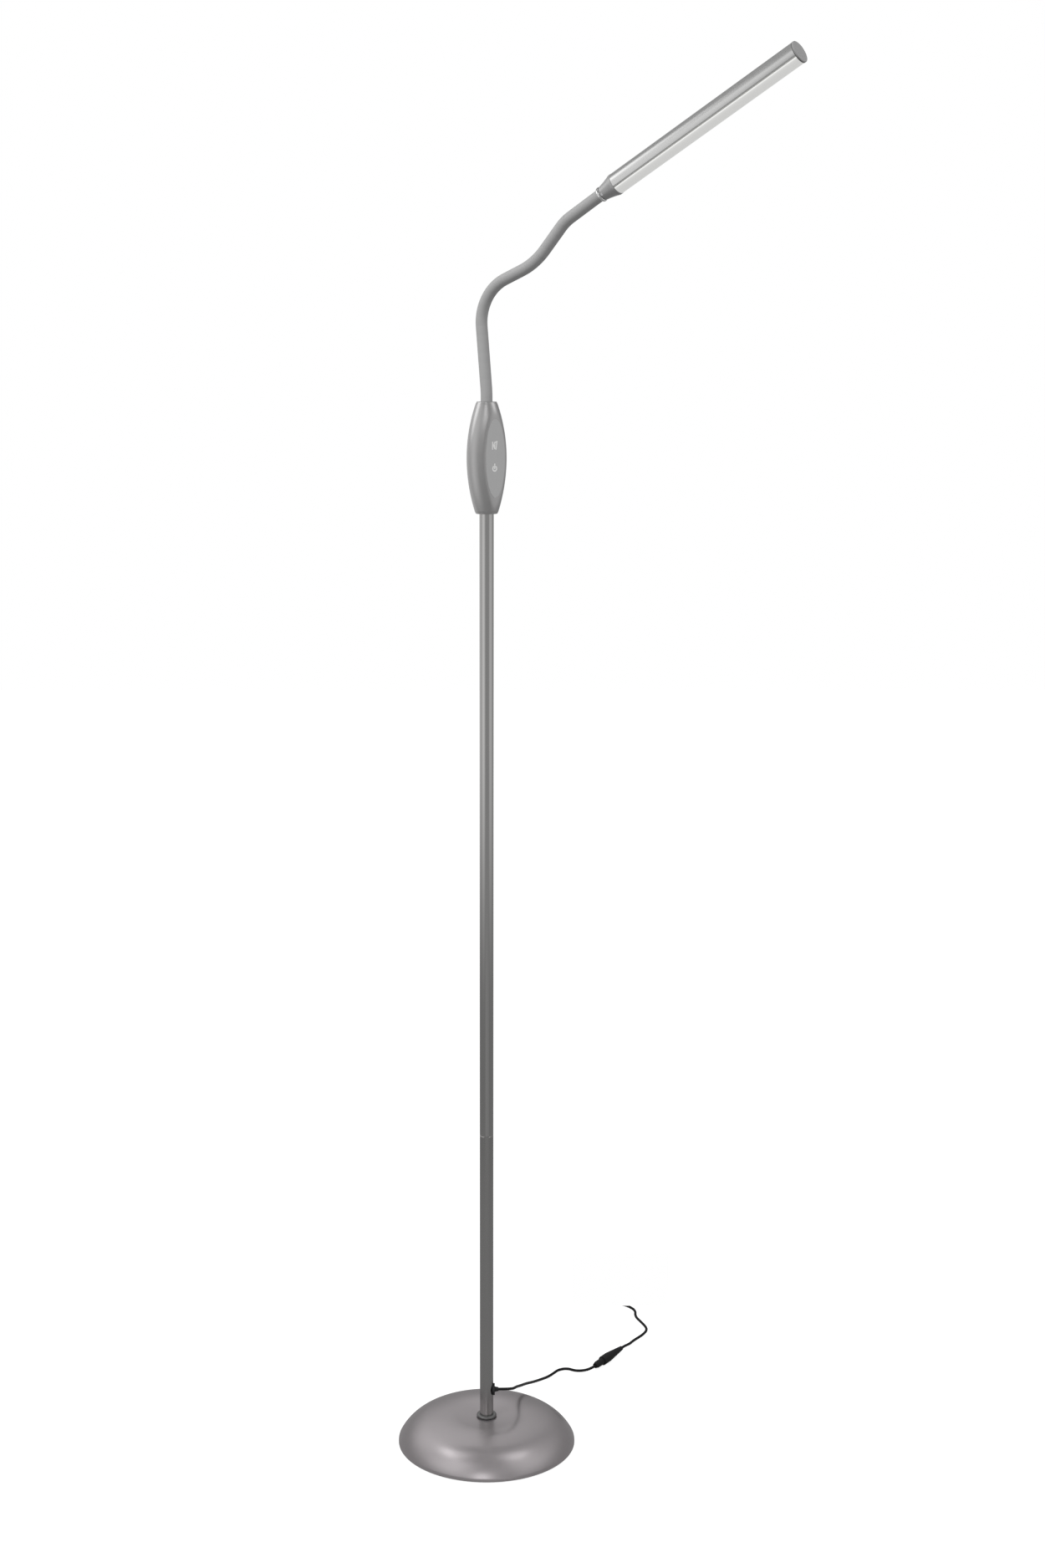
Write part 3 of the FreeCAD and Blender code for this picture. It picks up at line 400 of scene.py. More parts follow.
# The dome's outline is three arcs. Each has its middle's distance from the axis, its middle's
# height and its own radius.
crown = (0.0447455, -0.0756, 0.110)
shoulder = arc_inside(crown, 0.052, crown_turn)
rim = arc_inside(shoulder, 0.006, shoulder_turn)
outline = [(bolt_hole, seat_height), (seat_radius, seat_height)]
outline += arc_points(crown[:2], crown[2], dish_turn, crown_turn, 16)
outline += arc_points(shoulder[:2], shoulder[2], crown_turn, shoulder_turn, 30)[1:]
outline += arc_points(rim[:2], rim[2], shoulder_turn, rim_turn, 10)[1:]
outline += [(base_radius, base_foot), (base_radius - base_wall, base_foot)]
outline += arc_points(rim[:2], rim[2] - base_wall, rim_turn, shoulder_turn, 8)
outline += arc_points(shoulder[:2], shoulder[2] - base_wall, shoulder_turn, crown_turn, 20)[1:]
outline += arc_points(crown[:2], crown[2] - base_wall, crown_turn, dish_turn, 10)[1:]
outline += [(seat_radius, seat_height - base_wall), (bolt_hole, seat_height - base_wall)]
base_dome = turned_piece("base_dome", outline, steps=192)
base_paint = surface("base_paint", (0.5, 0.468, 0.48), 0.3, metallic=0.86, unevenness=0.03, grain=1800.0,
                     relief=0.004)
wear(base_dome, base_paint)
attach(base_dome, "stand")
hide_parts("base_cover")
cast_iron = surface("cast_iron", (0.06, 0.058, 0.056), 0.72, metallic=0.5, unevenness=0.25, grain=900.0,
                    relief=0.2)
zinc_plate = surface("zinc_plate", (0.52, 0.53, 0.55), 0.4, metallic=1.0, unevenness=0.12, grain=500.0,
                     relief=0.01)
foot_foam = surface("foot_foam", (0.02, 0.02, 0.021), 0.9, unevenness=0.3, grain=2400.0, relief=0.12)
screw_steel = surface("screw_steel", (0.5, 0.5, 0.51), 0.32, metallic=1.0, unevenness=0.1, grain=2000.0,
                      relief=0.006)
wear(nodes["base_weight"], cast_iron)
wear(nodes["base_plate"], zinc_plate)
wear(nodes["base_pad"], foot_foam)
wear(nodes["base_screws"], screw_steel)

# Pole
# Two lengths of polished steel tube, screwed end to end. A bolt through the weight holds the
# foot, a satin ring hides it, and the lead leaves the side just above. A thin black washer under
# the ring is painted shade for the dark line beneath it.
pole_steel = surface("pole_steel", (0.47, 0.465, 0.46), 0.15, metallic=1.0, unevenness=0.04, grain=900.0,
                     relief=0.002, lie=(1.0, 1.0, 0.05))
# The lower tube wears a darker, duller copy of the same steel: painted shade for the darker floor and base
# that its foot reflects.
shaded_pole_steel = surface("shaded_pole_steel", (0.4, 0.395, 0.39), 0.26, metallic=1.0, unevenness=0.05, grain=900.0,
                     relief=0.002, lie=(1.0, 1.0, 0.05))
ring_metal = surface("ring_metal", (0.22, 0.22, 0.22), 0.3, metallic=0.8, unevenness=0.03, grain=900.0,
                     relief=0.001)
black_rubber = surface("black_rubber", (0.014, 0.014, 0.015), 0.62, unevenness=0.2, grain=1800.0,
                       relief=0.03)
pole_radius = 0.008
pole_bore = 0.0068
pole_joint = seat_height + 0.354
pole_top = pole_joint + 0.742
joint_bevel = 0.0005
end_bevel = 0.0001


def tube_outline(low, high, low_bevel, high_bevel):
    """The outline of one length of the pole, with a bevel at each end."""
    return [(pole_bore, low), (pole_radius - low_bevel, low), (pole_radius, low + low_bevel),
            (pole_radius, high - high_bevel), (pole_radius - high_bevel, high), (pole_bore, high)]


lower_tube = turned_piece("lower_tube", tube_outline(seat_height, pole_joint, end_bevel, joint_bevel))
upper_tube = turned_piece("upper_tube", tube_outline(pole_joint, pole_top, joint_bevel, end_bevel))
collar_radius = 0.0118
collar_round = 0.0016
collar_foot = seat_height + 0.0012
collar_top = collar_foot + 0.0024
collar_bore = pole_radius + 0.00005
collar_bevel = 0.00015
ring = [(collar_bore, collar_foot), (collar_radius, collar_foot)]
ring += arc_points((collar_radius - collar_round, collar_top - collar_round), collar_round, 90, 0, 10)
ring += [(collar_bore + collar_bevel, collar_top), (collar_bore, collar_top - collar_bevel)]
foot_ring = turned_piece("foot_ring", ring)
# A thin black washer under the satin ring: painted shade for the dark line beneath the ring.
washer_bore = 0.0083
washer_radius = 0.0113
washer_top = seat_height + 0.0011
shade_washer = turned_piece("shade_washer", [(washer_bore, seat_height), (washer_radius, seat_height),
                                           (washer_radius, washer_top), (washer_bore, washer_top)])
wear(shade_washer, black_rubber)
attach(shade_washer, "stand")
wear(lower_tube, shaded_pole_steel)
wear(upper_tube, pole_steel)
wear(foot_ring, ring_metal)
for piece, node, slot in ((lower_tube, "pole_lower", "pole_steel"),
                          (upper_tube, "pole_upper", "pole_steel"),
                          (foot_ring, "pole_collar", "trim_chrome")):
    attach(piece, "stand")
    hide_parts(node)
for name in ("pole_bolt", "bolt_washer", "pole_foot_plug", "pole_coupler", "pole_socket"):
    wear(nodes[name], screw_steel)
wear(nodes["pole_outlet"], black_rubber)

# Control housing
# Two moulded halves of silver grey plastic that meet at the sides and hold the pole and the neck
# between them. The flat oval on the front is the touch panel, with its board just behind.
housing_paint = surface("housing_paint", (0.42, 0.416, 0.416), 0.3, metallic=0.75, unevenness=0.03,
                        grain=3000.0, relief=0.003)
panel_paint = surface("panel_paint", (0.52, 0.52, 0.52), 0.4, metallic=0.35, unevenness=0.02, grain=3000.0,
                      relief=0.002)
board_green = surface("board_green", (0.03, 0.14, 0.06), 0.4, unevenness=0.15, grain=600.0, relief=0.01)
spring_bronze = surface("spring_bronze", (0.5, 0.36, 0.2), 0.35, metallic=1.0, unevenness=0.1)
natural_nylon = surface("natural_nylon", (0.6, 0.58, 0.52), 0.5, unevenness=0.04)
pole_in_housing = 0.018
housing_height = 0.1226
housing_low = pole_top - pole_in_housing
housing_high = housing_low + housing_height
housing_middle = (housing_low + housing_high) / 2
foot_radius, waist_radius, top_radius = 0.0124, 0.0221, 0.0113
housing_turn = math.radians(35.5)
facet_distance = 0.0168
facet_set_back = 0.0001
facet_blend = 0.0026
square_turn = math.radians(36.0)
squareness = 3.2
housing_wall = 0.0022
end_round = 0.0008
pole_opening = 0.0083
neck_opening = 0.0068
seam_turn = math.pi / 2 - 0.002
least_facing = 0.05


def bow_radius(height):
    """The spindle's radius at a height, from an arc through its foot, its waist and its top."""
    half = housing_height / 2
    end = foot_radius if height < housing_middle else top_radius
    sag = waist_radius - end
    bow = half * half / (2 * sag) + sag / 2
    return waist_radius - bow + math.sqrt(bow * bow - (height - housing_middle) ** 2)


def skin_radius(height, turn, inset):
    """Distance from the axis to the skin: a spindle squared off at its waist, with a flat facet."""
    bow = bow_radius(height)
    fullness = (bow - foot_radius) / (waist_radius - foot_radius)
    across, along = abs(math.sin(turn + square_turn)), abs(math.cos(turn + square_turn))
    squared = (across ** squareness + along ** squareness) ** (-max(fullness, 0.0) / squareness)
    round_part = bow * squared - inset
    flat_part = (facet_distance - facet_set_back - inset) / max(math.cos(turn), least_facing)
    share = min(max(0.5 + 0.5 * (flat_part - round_part) / facet_blend, 0.0), 1.0)
    return flat_part + (round_part - flat_part) * share - facet_blend * share * (1 - share)


def housing_half(name, turn_from, turn_to):
    """One half of the housing: its outer skin, rounded ends, inner skin and the seams at its sides."""
    mesh = bmesh.new()
    rows = []
    around, outside, inside, rounding = 96, 84, 30, 6
    quarter = [math.pi / 2 * n / rounding for n in range(rounding + 1)]
    outer_rises = [housing_low + end_round + (housing_height - 2 * end_round) * n / outside
                   for n in range(1, outside)]
    inner_rises = [housing_high - housing_wall - (housing_height - 2 * housing_wall) * n / inside
                   for n in range(inside + 1)]
    for k in range(around + 1):
        turn = turn_from + (turn_to - turn_from) * k / around
        path = [(pole_opening, housing_low)]
        for a in quarter:
            inset, rise = end_round * (1 - math.sin(a)), end_round * (1 - math.cos(a))
            path.append((skin_radius(housing_low, turn, inset), housing_low + rise))
        path += [(skin_radius(rise, turn, 0.0), rise) for rise in outer_rises]
        for a in quarter:
            inset, drop = end_round * (1 - math.cos(a)), end_round * (1 - math.sin(a))
            path.append((skin_radius(housing_high, turn, inset), housing_high - drop))
        path += [(neck_opening, housing_high), (neck_opening, housing_high - housing_wall)]
        path += [(skin_radius(rise, turn, housing_wall), rise) for rise in inner_rises]
        path += [(pole_opening, housing_low + housing_wall)]
        rows.append([mesh.verts.new((r * math.sin(turn), -r * math.cos(turn), z)) for r, z in path])
    for one, other in zip(rows, rows[1:]):
        for k in range(len(one)):
            after = (k + 1) % len(one)
            mesh.faces.new((one[k], other[k], other[after], one[after]))
    mesh.faces.new(rows[0])
    mesh.faces.new(rows[-1][::-1])
    return finished(name, mesh, Matrix.Rotation(housing_turn, 4, "Z"))


front_half = housing_half("front_half", -seam_turn, seam_turn)
rear_half = housing_half("rear_half", math.pi - seam_turn, math.pi + seam_turn)
for piece, node in ((front_half, "housing_front"), (rear_half, "housing_rear")):
    wear(piece, housing_paint)
    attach(piece, "stand")
    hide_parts(node)
wear(nodes["touch_panel"], panel_paint)
panel_white = surface("panel_white", (0.97, 0.97, 0.96), 0.5, unevenness=0.03)
ink_height = 0.00004
ink_step = 0.000002


def printed_marks(name, strokes, width):
    """Thin raised ink on the facet from strokes given across and up it, in metres.

    Each stroke lies a hair above the one before, so that no two faces share a plane.
    """
    mesh = bmesh.new()
    rise = ink_height
    for stroke in strokes:
        for (xa, za), (xb, zb) in zip(stroke, stroke[1:]):
            rise += ink_step
            ahead = Vector((xb - xa, zb - za)).normalized() * width / 2
            aside = Vector((-ahead.y, ahead.x))
            corners = [Vector((xa, za)) - ahead + aside, Vector((xb, zb)) + ahead + aside,
                       Vector((xb, zb)) + ahead - aside, Vector((xa, za)) - ahead - aside]
            back = [mesh.verts.new((c.x, -facet_distance, c.y)) for c in corners]
            front = [mesh.verts.new((c.x, -facet_distance - rise, c.y)) for c in corners]
            mesh.faces.new(front)
            mesh.faces.new(back[::-1])
            for k in range(4):
                mesh.faces.new((back[k], back[(k + 1) % 4], front[(k + 1) % 4], front[k]))
    piece = finished(name, mesh, Matrix.Rotation(housing_turn, 4, "Z"))
    wear(piece, panel_white)
    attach(piece, "stand")


mark_across = -0.001
dimmer_z = 1.1853
dimmer_stroke = 0.0014
zigzag_mm = ((-2.9, -3.8), (-2.9, 3.4), (0.0, -3.2), (0.0, 3.4), (3.0, 4.2), (1.6, -4.0))
zigzag = [(mark_across + dx / 1000, dimmer_z + dz / 1000) for dx, dz in zigzag_mm]
printed_marks("dimmer_mark", [zigzag], dimmer_stroke)
power_z = 1.1608
power_stroke = 0.0015
power_radius = 0.0026
power_gap = 40
power_ring = arc_points((mark_across, power_z - 0.0006), power_radius, power_gap, 360 - power_gap, 20)
power_bar = [(mark_across, power_z - 0.0004), (mark_across, power_z + 0.0042)]
printed_marks("power_mark", [power_ring, power_bar], power_stroke)
wear(nodes["control_board"], board_green)
wear(nodes["key_springs"], spring_bronze)
for name in ("housing_screws", "board_screws"):
    wear(nodes[name], screw_steel)
for name in ("lower_bush", "upper_bush"):
    wear(nodes[name], natural_nylon)

# Neck
# A core wound from steel wire that bends and stays, inside a smooth sleeve of grey rubber. It
# stands up out of the housing, leans over in one upright plane and ends in the head's ferrule.
neck_rubber = surface("neck_rubber", (0.41, 0.41, 0.41), 0.5, unevenness=0.03, grain=1600.0, relief=0.004)
wound_steel = surface("wound_steel", (0.35, 0.35, 0.36), 0.35, metallic=1.0, unevenness=0.15)
arm_turn = math.radians(35.0)
arm_out = Vector((math.cos(arm_turn), -math.sin(arm_turn), 0.0))
upward = Vector((0.0, 0.0, 1.0))
head_rise = math.radians(29.3)
head_axis = arm_out * math.cos(head_rise) + upward * math.sin(head_rise)
head_up = upward * math.cos(head_rise) - arm_out * math.sin(head_rise)

# The corners of the neck's line, out and up from the housing's top, and the bend's radius at each.
neck_corners = [(0.0, 0.010), (-0.0099, 0.1172), (0.0637, 0.1470), (0.1015, 0.1896), (0.1373, 0.2105)]
neck_radii = [0.126, 0.049, 0.080, 0.051, 0.100]
bends = [arm_out * out + upward * (housing_high + rise) for out, rise in neck_corners]
ferrule_past_bend = 0.0106
head_start = bends[-1] + head_axis * ferrule_past_bend
core_in_housing = 0.022
core_in_ferrule = 0.014
sleeve_tuck = 0.0022
sleeve_radius = 0.0065
sleeve_count = 6
ring_spacing = 0.002
bend_reach = 0.020
neck_foot = Vector((0.0, 0.0, housing_high - core_in_housing))
neck_stops = [neck_foot] + bends + [head_start + head_axis * core_in_ferrule]


def bent_line(stops, radii):
    """Close points along straight runs whose corners are rounded by arcs."""
    step = 0.0004
    marks = [stops[0]]
    for before, corner, after, radius in zip(stops, stops[1:], stops[2:], radii):
        come = (corner - before).normalized()
        go = (after - corner).normalized()
        turn = come.angle(go)
        cut = radius * math.tan(turn / 2)
        middle = corner - come * cut + (go - come * come.dot(go)).normalized() * radius
        axis = come.cross(go).normalized()
        count = max(2, round(radius * turn / step))
        arm = corner - come * cut - middle
        marks += [middle + Matrix.Rotation(turn * k / count, 3, axis) @ arm for k in range(count + 1)]
    marks.append(stops[-1])
    close = [marks[0]]
    for a, b in zip(marks, marks[1:]):
        count = max(1, math.ceil((b - a).length / step))
        close += [a.lerp(b, k / count) for k in range(1, count + 1)]
    return close


neck_line = bent_line(neck_stops, neck_radii)
neck_length = sum((b - a).length for a, b in zip(neck_line, neck_line[1:]))
neck_marks = KDTree(len(neck_line))
for count, mark in enumerate(neck_line):
    neck_marks.insert(mark, count)
neck_marks.balance()
neck_curve = bpy.data.curves.new("neck_curve", "CURVE")
neck_curve.dimensions = "3D"
run = neck_curve.splines.new("POLY")
run.points.add(len(neck_line) - 1)
for mark, place in zip(run.points, neck_line):
    mark.co = (*place, 1.0)


def along_neck(distance):
    """The point of the neck's line at a distance from its foot."""
    for a, b in zip(neck_line, neck_line[1:]):
        step = (b - a).length
        if distance <= step:
            return a + (b - a) * (distance / step)
        distance -= step
    return neck_line[-1]


sleeve_tree = bpy.data.node_groups.new("sleeve_tree", "GeometryNodeTree")
ports = sleeve_tree.interface
ports.new_socket("Line", in_out="INPUT", socket_type="NodeSocketGeometry")
sleeve_ports = {}
for label, kind, value in (("Starts at", "NodeSocketFloat", 0.0), ("Ends at", "NodeSocketFloat", 0.1),
                           ("Sleeve radius", "NodeSocketFloat", sleeve_radius),
                           ("Ring spacing", "NodeSocketFloat", ring_spacing), ("Sides", "NodeSocketInt", 64),
                           ("Rubber", "NodeSocketMaterial", neck_rubber)):
    port = ports.new_socket(label, in_out="INPUT", socket_type=kind)
    port.default_value = value
    sleeve_ports[label] = port.identifier
ports.new_socket("Sleeve", in_out="OUTPUT", socket_type="NodeSocketGeometry")
tree_nodes = sleeve_tree.nodes
tree_link = sleeve_tree.links.new
given = tree_nodes.new("NodeGroupInput")
made = tree_nodes.new("NodeGroupOutput")
trimmed = tree_nodes.new("GeometryNodeTrimCurve")
trimmed.mode = "LENGTH"
tree_link(given.outputs["Line"], trimmed.inputs["Curve"])
trim_start, trim_end = trimmed.inputs[4], trimmed.inputs[5]
tree_link(given.outputs["Starts at"], trim_start)
tree_link(given.outputs["Ends at"], trim_end)
stations = tree_nodes.new("GeometryNodeResampleCurve")
stations.mode = "LENGTH"
tree_link(trimmed.outputs["Curve"], stations.inputs["Curve"])
tree_link(given.outputs["Ring spacing"], stations.inputs["Length"])
hoop = tree_nodes.new("GeometryNodeCurvePrimitiveCircle")
tree_link(given.outputs["Sides"], hoop.inputs["Resolution"])
tree_link(given.outputs["Sleeve radius"], hoop.inputs["Radius"])
skin_of_sleeve = tree_nodes.new("GeometryNodeCurveToMesh")
skin_of_sleeve.inputs["Fill Caps"].default_value = True
tree_link(stations.outputs["Curve"], skin_of_sleeve.inputs["Curve"])
tree_link(hoop.outputs["Curve"], skin_of_sleeve.inputs["Profile Curve"])
settled = tree_nodes.new("GeometryNodeRealizeInstances")
tree_link(skin_of_sleeve.outputs["Mesh"], settled.inputs["Geometry"])
coated = tree_nodes.new("GeometryNodeSetMaterial")
tree_link(settled.outputs["Geometry"], coated.inputs["Geometry"])
tree_link(given.outputs["Rubber"], coated.inputs["Material"])
tree_link(coated.outputs["Geometry"], made.inputs["Sleeve"])


def grown(name, source, tree, values):
    """A plain mesh piece from what a tree makes of a source object with the given inputs."""
    grower = source.modifiers.new(name, "NODES")
    grower.node_group = tree
    for port, value in values.items():
        grower[port] = value
    seen = source.evaluated_get(bpy.context.evaluated_depsgraph_get())
    shape = bpy.data.meshes.new_from_object(seen)
    shape.name = name
    source.modifiers.remove(grower)
    thing = bpy.data.objects.new(name, shape)
    scene.collection.objects.link(thing)
    return thing


neck_guide = bpy.data.objects.new("neck_guide", neck_curve)
scene.collection.objects.link(neck_guide)
sleeve_from = core_in_housing - sleeve_tuck
sleeve_step = (neck_length - core_in_ferrule + sleeve_tuck - sleeve_from) / sleeve_count
for count in range(sleeve_count):
    low = sleeve_from + sleeve_step * count
    sleeve = grown("sleeve_" + str(count + 1), neck_guide, sleeve_tree,
                   {sleeve_ports["Starts at"]: low, sleeve_ports["Ends at"]: low + sleeve_step})
    normals = []
    for face in sleeve.data.polygons:
        face.use_smooth = len(face.vertices) == 4
        for corner in face.vertices:
            place = sleeve.data.vertices[corner].co
            near = neck_marks.find(place)[0]
            normals.append((place - near).normalized() if face.use_smooth else face.normal.copy())
    sleeve.data.normals_split_custom_set(normals)
    hinge = low + sleeve_step / 2
    tuple(along_neck(hinge - bend_reach))
    tuple(along_neck(hinge + bend_reach))
    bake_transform(sleeve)
    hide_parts("neck_sleeve_" + str(count + 1))
bpy.data.objects.remove(neck_guide)
for count in range(sleeve_count + 1):
    wear(nodes["neck_core_" + str(count)], wound_steel)

# Head
# A long round bar of light. A turned ferrule with a polished lip joins it to the neck, an
# aluminium shell runs over its top, a bowed white cover closes it below, and a cap ends it.
ferrule_paint = surface("ferrule_paint", (0.38, 0.38, 0.38), 0.36, metallic=0.3, unevenness=0.03,
                        grain=2000.0, relief=0.003)
lip_chrome = surface("lip_chrome", (0.7, 0.7, 0.7), 0.1, metallic=1.0, unevenness=0.02, grain=900.0,
                     relief=0.001)
shell_silver = surface("shell_silver", (0.62, 0.62, 0.615), 0.26, metallic=0.9, unevenness=0.02,
                       grain=2000.0, relief=0.002)
opal_cover = surface("opal_cover", (0.7, 0.7, 0.69), 0.4, unevenness=0.01, grain=2000.0, relief=0.001)
opal_cover.cycles.emission_sampling = "NONE"
# The cover glows faintly though its chips are unlit: painted light that brightens it, standing in for light
# scattered through the opal plastic.
opal = opal_cover.node_tree.nodes["Principled BSDF"]
opal.inputs["Emission Color"].default_value = (1.0, 1.0, 0.98, 1.0)
opal.inputs["Emission Strength"].default_value = 0.36
white_laminate = surface("white_laminate", (0.7, 0.7, 0.68), 0.4, unevenness=0.02)
chip_yellow = surface("chip_yellow", (0.75, 0.62, 0.2), 0.4, unevenness=0.05)
cap_grey = surface("cap_grey", (0.31, 0.31, 0.31), 0.45, unevenness=0.03, grain=2000.0, relief=0.004)
head_radius = 0.0116
shell_wall = 0.0014
ferrule_length = 0.0187
ferrule_radius = 0.0118
wire_bore = 0.0022
core_bore = 0.00455
sleeve_bore = 0.00655
mouth_radius = 0.0069
mouth_depth = 0.0025
head_length = 0.2397
cap_length = 0.002
shell_start = 0.0217
shell_end = shell_start + head_length - cap_length
head_side = head_up.cross(head_axis)
head_stand = Matrix.Translation(head_start) @ Matrix((head_side, head_up, head_axis)).transposed().to_4x4()


flare_start, flare_slope, flare_curve = 0.0074, 0.0024, 0.0020
flare_steps = 24


def flare(share):
    """Radius of the ferrule at a share of its length, a hollow curve that opens towards the head."""
    return flare_start + flare_slope * share + flare_curve * share * share


ferrule_edge = 0.0008
outline = [(wire_bore, core_in_ferrule), (core_bore, core_in_ferrule), (core_bore, sleeve_tuck),
           (sleeve_bore, sleeve_tuck), (sleeve_bore, 0.0), (mouth_radius, 0.0), (mouth_radius, mouth_depth)]
outline += [(flare(k / flare_steps), ferrule_length * k / flare_steps) for k in range(4, flare_steps + 1)]
outline += arc_points((ferrule_radius - ferrule_edge, shell_start - ferrule_edge), ferrule_edge, 90, 0, 6)
outline += [(wire_bore, shell_start)]
ferrule = turned_piece("ferrule", outline, stand=head_stand)
wear(ferrule, ferrule_paint)
lip_radius, lip_z = 0.0074, 0.0003
lip_thick, lip_long = 0.0008, 0.0016
lip_turns = [2 * math.pi * k / 20 for k in range(20)]
lip = turned_piece("ferrule_lip", [(lip_radius + lip_thick * math.sin(a), lip_z + lip_long * math.cos(a))
                                   for a in lip_turns], stand=head_stand)
wear(lip, lip_chrome)


def extruded_piece(name, sections, low, high):
    """A straight piece along the head with one or more closed sections."""
    mesh = bmesh.new()
    for section in sections:
        ends = [[mesh.verts.new((x, y, z)) for x, y in section] for z in (low, high)]
        mesh.faces.new(ends[0])
        mesh.faces.new(ends[1][::-1])
        for k in range(len(section)):
            after = (k + 1) % len(section)
            mesh.faces.new((ends[0][k], ends[1][k], ends[1][after], ends[0][after]))
    return finished(name, mesh, head_stand)


edge_turn = 9.0
edge_drop = 0.0009


def band(outer, inner, degrees_from, degrees_to, count):
    """A curved wall's section between two angles, with both long edges rolled in."""
    section = []
    for k in range(count + 1):
        degrees = degrees_from + (degrees_to - degrees_from) * k / count
        to_edge = min(abs(degrees - degrees_from), abs(degrees_to - degrees))
        roll = max(1 - to_edge / edge_turn, 0.0)
        radius = outer - edge_drop * (1 - math.sqrt(1 - roll * roll))
        section.append((radius * math.cos(math.radians(degrees)), radius * math.sin(math.radians(degrees))))
    for k in range(count, -1, -1):
        a = math.radians(degrees_from + (degrees_to - degrees_from) * k / count)
        section.append((inner * math.cos(a), inner * math.sin(a)))
    return section


shell_inside = head_radius - shell_wall
web_side, web_low, web_high = 0.0099, 0.0016, 0.003
web = [(web_side, web_low), (web_side, web_high), (-web_side, web_high), (-web_side, web_low)]
shell_from, shell_to = -27, 207
shell_wrap = band(head_radius, shell_inside, shell_from, shell_to, 104)
head_cover = extruded_piece("head_cover", [shell_wrap, web], shell_start, shell_end)
wear(head_cover, shell_silver)
cover_set_back = 0.0001
cover_gap = 0.00005
cover_from, cover_to = -30.0, -150.0
cover_bow = band(head_radius - cover_set_back, shell_inside, cover_from, cover_to, 60)
light_cover = extruded_piece("light_cover", [cover_bow], shell_start + cover_gap, shell_end - cover_gap)
wear(light_cover, opal_cover)
seal_bore = 0.0112
seal_radius = 0.01182
seal_bevel = 0.00007
seal_low = shell_end - 0.0002
seal_high = shell_end + 0.0005
seal = turned_piece("cap_seal", [(seal_bore, seal_low), (seal_radius - seal_bevel, seal_low),
                                 (seal_radius, shell_end), (seal_radius, seal_high),
                                 (seal_bore, seal_high)], stand=head_stand)
seal_grey = surface("seal_grey", (0.09, 0.09, 0.09), 0.5, unevenness=0.1, grain=1800.0, relief=0.004)
wear(seal, seal_grey)
for piece, node, slot in ((ferrule, "head_ferrule", "ferrule_metal"),
                          (head_cover, "head_shell", "shell_aluminium"),
                          (light_cover, "head_diffuser", "diffuser_plastic")):
    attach(piece, "head")
    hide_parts(node)
for piece, slot in ((lip, "ferrule_metal"), (seal, "grommet_rubber")):
    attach(piece, "head")
wear(nodes["ferrule_screw"], screw_steel)
wear(nodes["led_board"], white_laminate)
wear(nodes["led_chips"], chip_yellow)
wear(nodes["end_cap"], cap_grey)

# Lead
# A thin round cable in a black vinyl jacket. It leaves the pole low on its right side, drops
# behind the base and runs back over the floor to a connector pair and on to its wall adapter.
cord_diameter = 0.0034
black_vinyl = surface("black_vinyl", (0.007, 0.007, 0.0075), 0.45, unevenness=0.2, grain=1500.0, relief=0.02)
black_moulding = surface("black_moulding", (0.012, 0.012, 0.013), 0.5, unevenness=0.2, grain=1800.0,
                         relief=0.04)
for dull in (black_vinyl, black_moulding):
    dull.node_tree.nodes["Principled BSDF"].inputs["Specular IOR Level"].default_value = 0.25


def laid_cord(name, points):
    """A round cable along one smooth line."""
    curve = bpy.data.curves.new(name, "CURVE")
    curve.dimensions = "3D"
    curve.bevel_depth = cord_diameter / 2
    curve.bevel_resolution = 5
    curve.resolution_u = 8
    curve.use_fill_caps = True
    line = curve.splines.new("NURBS")
    line.points.add(len(points) - 1)
    for mark, place in zip(line.points, points):
        mark.co = (*place, 1.0)
    line.order_u = 3
    line.use_endpoint_u = True
    thing = bpy.data.objects.new(name, curve)
    scene.collection.objects.link(thing)
    thing.data.materials.append(black_vinyl)
    return thing


inner_route = [
    (0.0067, 0.0, 0.0665), (0.0045, 0.0, 0.0665), (0.0012, 0.0, 0.0672), (0.0, 0.0, 0.072), (0.0, 0.0, 0.35),
    (0.0, 0.0, 0.75), (0.0, 0.0, 1.1), (0.0, 0.0, 1.1285), (0.0009, -0.0013, 1.1345),
    (0.0028, -0.0040, 1.1382), (0.0037, -0.0052, 1.1415), (0.0038, -0.0053, 1.1452),
]
inner_cord = laid_cord("inner_cord", inner_route)
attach(inner_cord, "stand")
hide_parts("pole_lead")

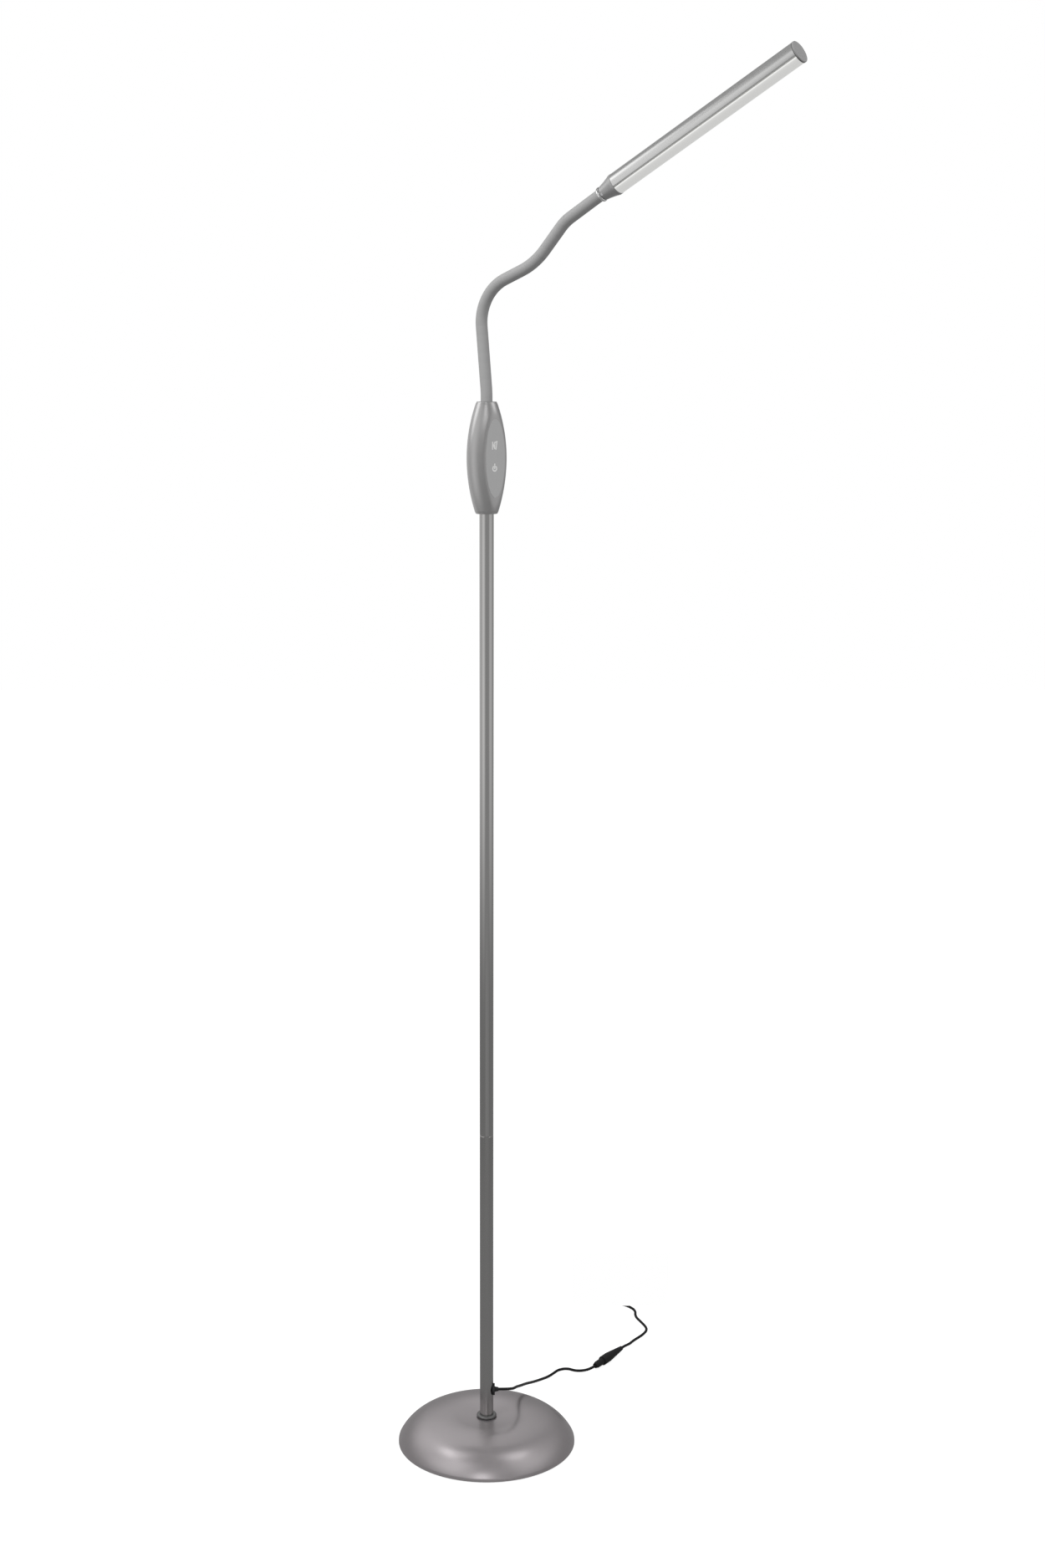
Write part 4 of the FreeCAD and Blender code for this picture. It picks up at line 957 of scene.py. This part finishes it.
outlet_route = [
    (0.0143, 0.0, 0.0665), (0.0215, 0.0, 0.0665), (0.028, 0.0038, 0.065), (0.0325, 0.012, 0.0615),
    (0.036, 0.030, 0.055), (0.041, 0.0565, 0.0435), (0.049, 0.0875, 0.0315), (0.058, 0.1185, 0.0185),
    (0.068, 0.1495, 0.0068), (0.0775, 0.1665, 0.0022), (0.0848, 0.177, 0.0017), (0.092, 0.1885, 0.0017),
    (0.1036, 0.1926, 0.0017), (0.1141, 0.185, 0.0018), (0.1254, 0.1811, 0.0042), (0.13447, 0.18386, 0.006),
    (0.1394, 0.1909, 0.006),
]
outlet_cord = laid_cord("outlet_cord", outlet_route)
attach(outlet_cord, "stand")
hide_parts("outlet_lead")

# The rest of the lead lies on the floor and then winds in and out again in two layers of loops.
supply_route = [
    (0.17611, 0.24332, 0.006), (0.1807, 0.24988, 0.006), (0.188, 0.2625, 0.003), (0.1945, 0.2765, 0.0017),
    (0.2075, 0.293, 0.0017), (0.2155, 0.311, 0.0017), (0.2085, 0.3325, 0.0017), (0.201, 0.3515, 0.0017),
    (0.203, 0.3705, 0.0017), (0.1945, 0.3845, 0.0017), (0.1805, 0.394, 0.0017), (0.1695, 0.398, 0.0017),
    (0.1584, 0.398, 0.0017),
]
coil_turns = 3.5
climb_turns = 0.5
coil_radius = 0.0277
coil_pitch = 0.0044
layer_rise = 0.004
coil_middle = (0.155, 0.4257)
marks_per_turn = 16
outset = 1 / math.cos(math.pi / marks_per_turn)
all_turns = 2 * coil_turns + climb_turns
for mark in range(1, int(all_turns * marks_per_turn)):
    turns = mark / marks_per_turn
    inward = min(turns, coil_turns)
    outward = max(turns - coil_turns - climb_turns, 0.0)
    climb = min(max((turns - coil_turns) / climb_turns, 0.0), 1.0)
    reach = (coil_radius - coil_pitch * (inward - outward)) * outset
    angle = -math.pi / 2 - 2 * math.pi * turns
    height = cord_diameter / 2 + layer_rise * climb * climb * (3 - 2 * climb)
    supply_route.append((coil_middle[0] + reach * math.cos(angle), coil_middle[1] + reach * math.sin(angle),
                         height))
supply_route += [(0.1548, 0.4534, 0.0057), (0.1584, 0.4534, 0.0057)]
supply_cord = laid_cord("supply_cord", supply_route)
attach(supply_cord, "stand")
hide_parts("supply_lead", "cord_coil")
for name in ("dc_jack", "dc_plug", "adapter_relief", "wall_adapter"):
    wear(nodes[name], black_moulding)
blade_brass = surface("blade_brass", (0.6, 0.5, 0.3), 0.28, metallic=1.0, unevenness=0.08, grain=1500.0,
                      relief=0.004)
wear(nodes["adapter_blades"], blade_brass)
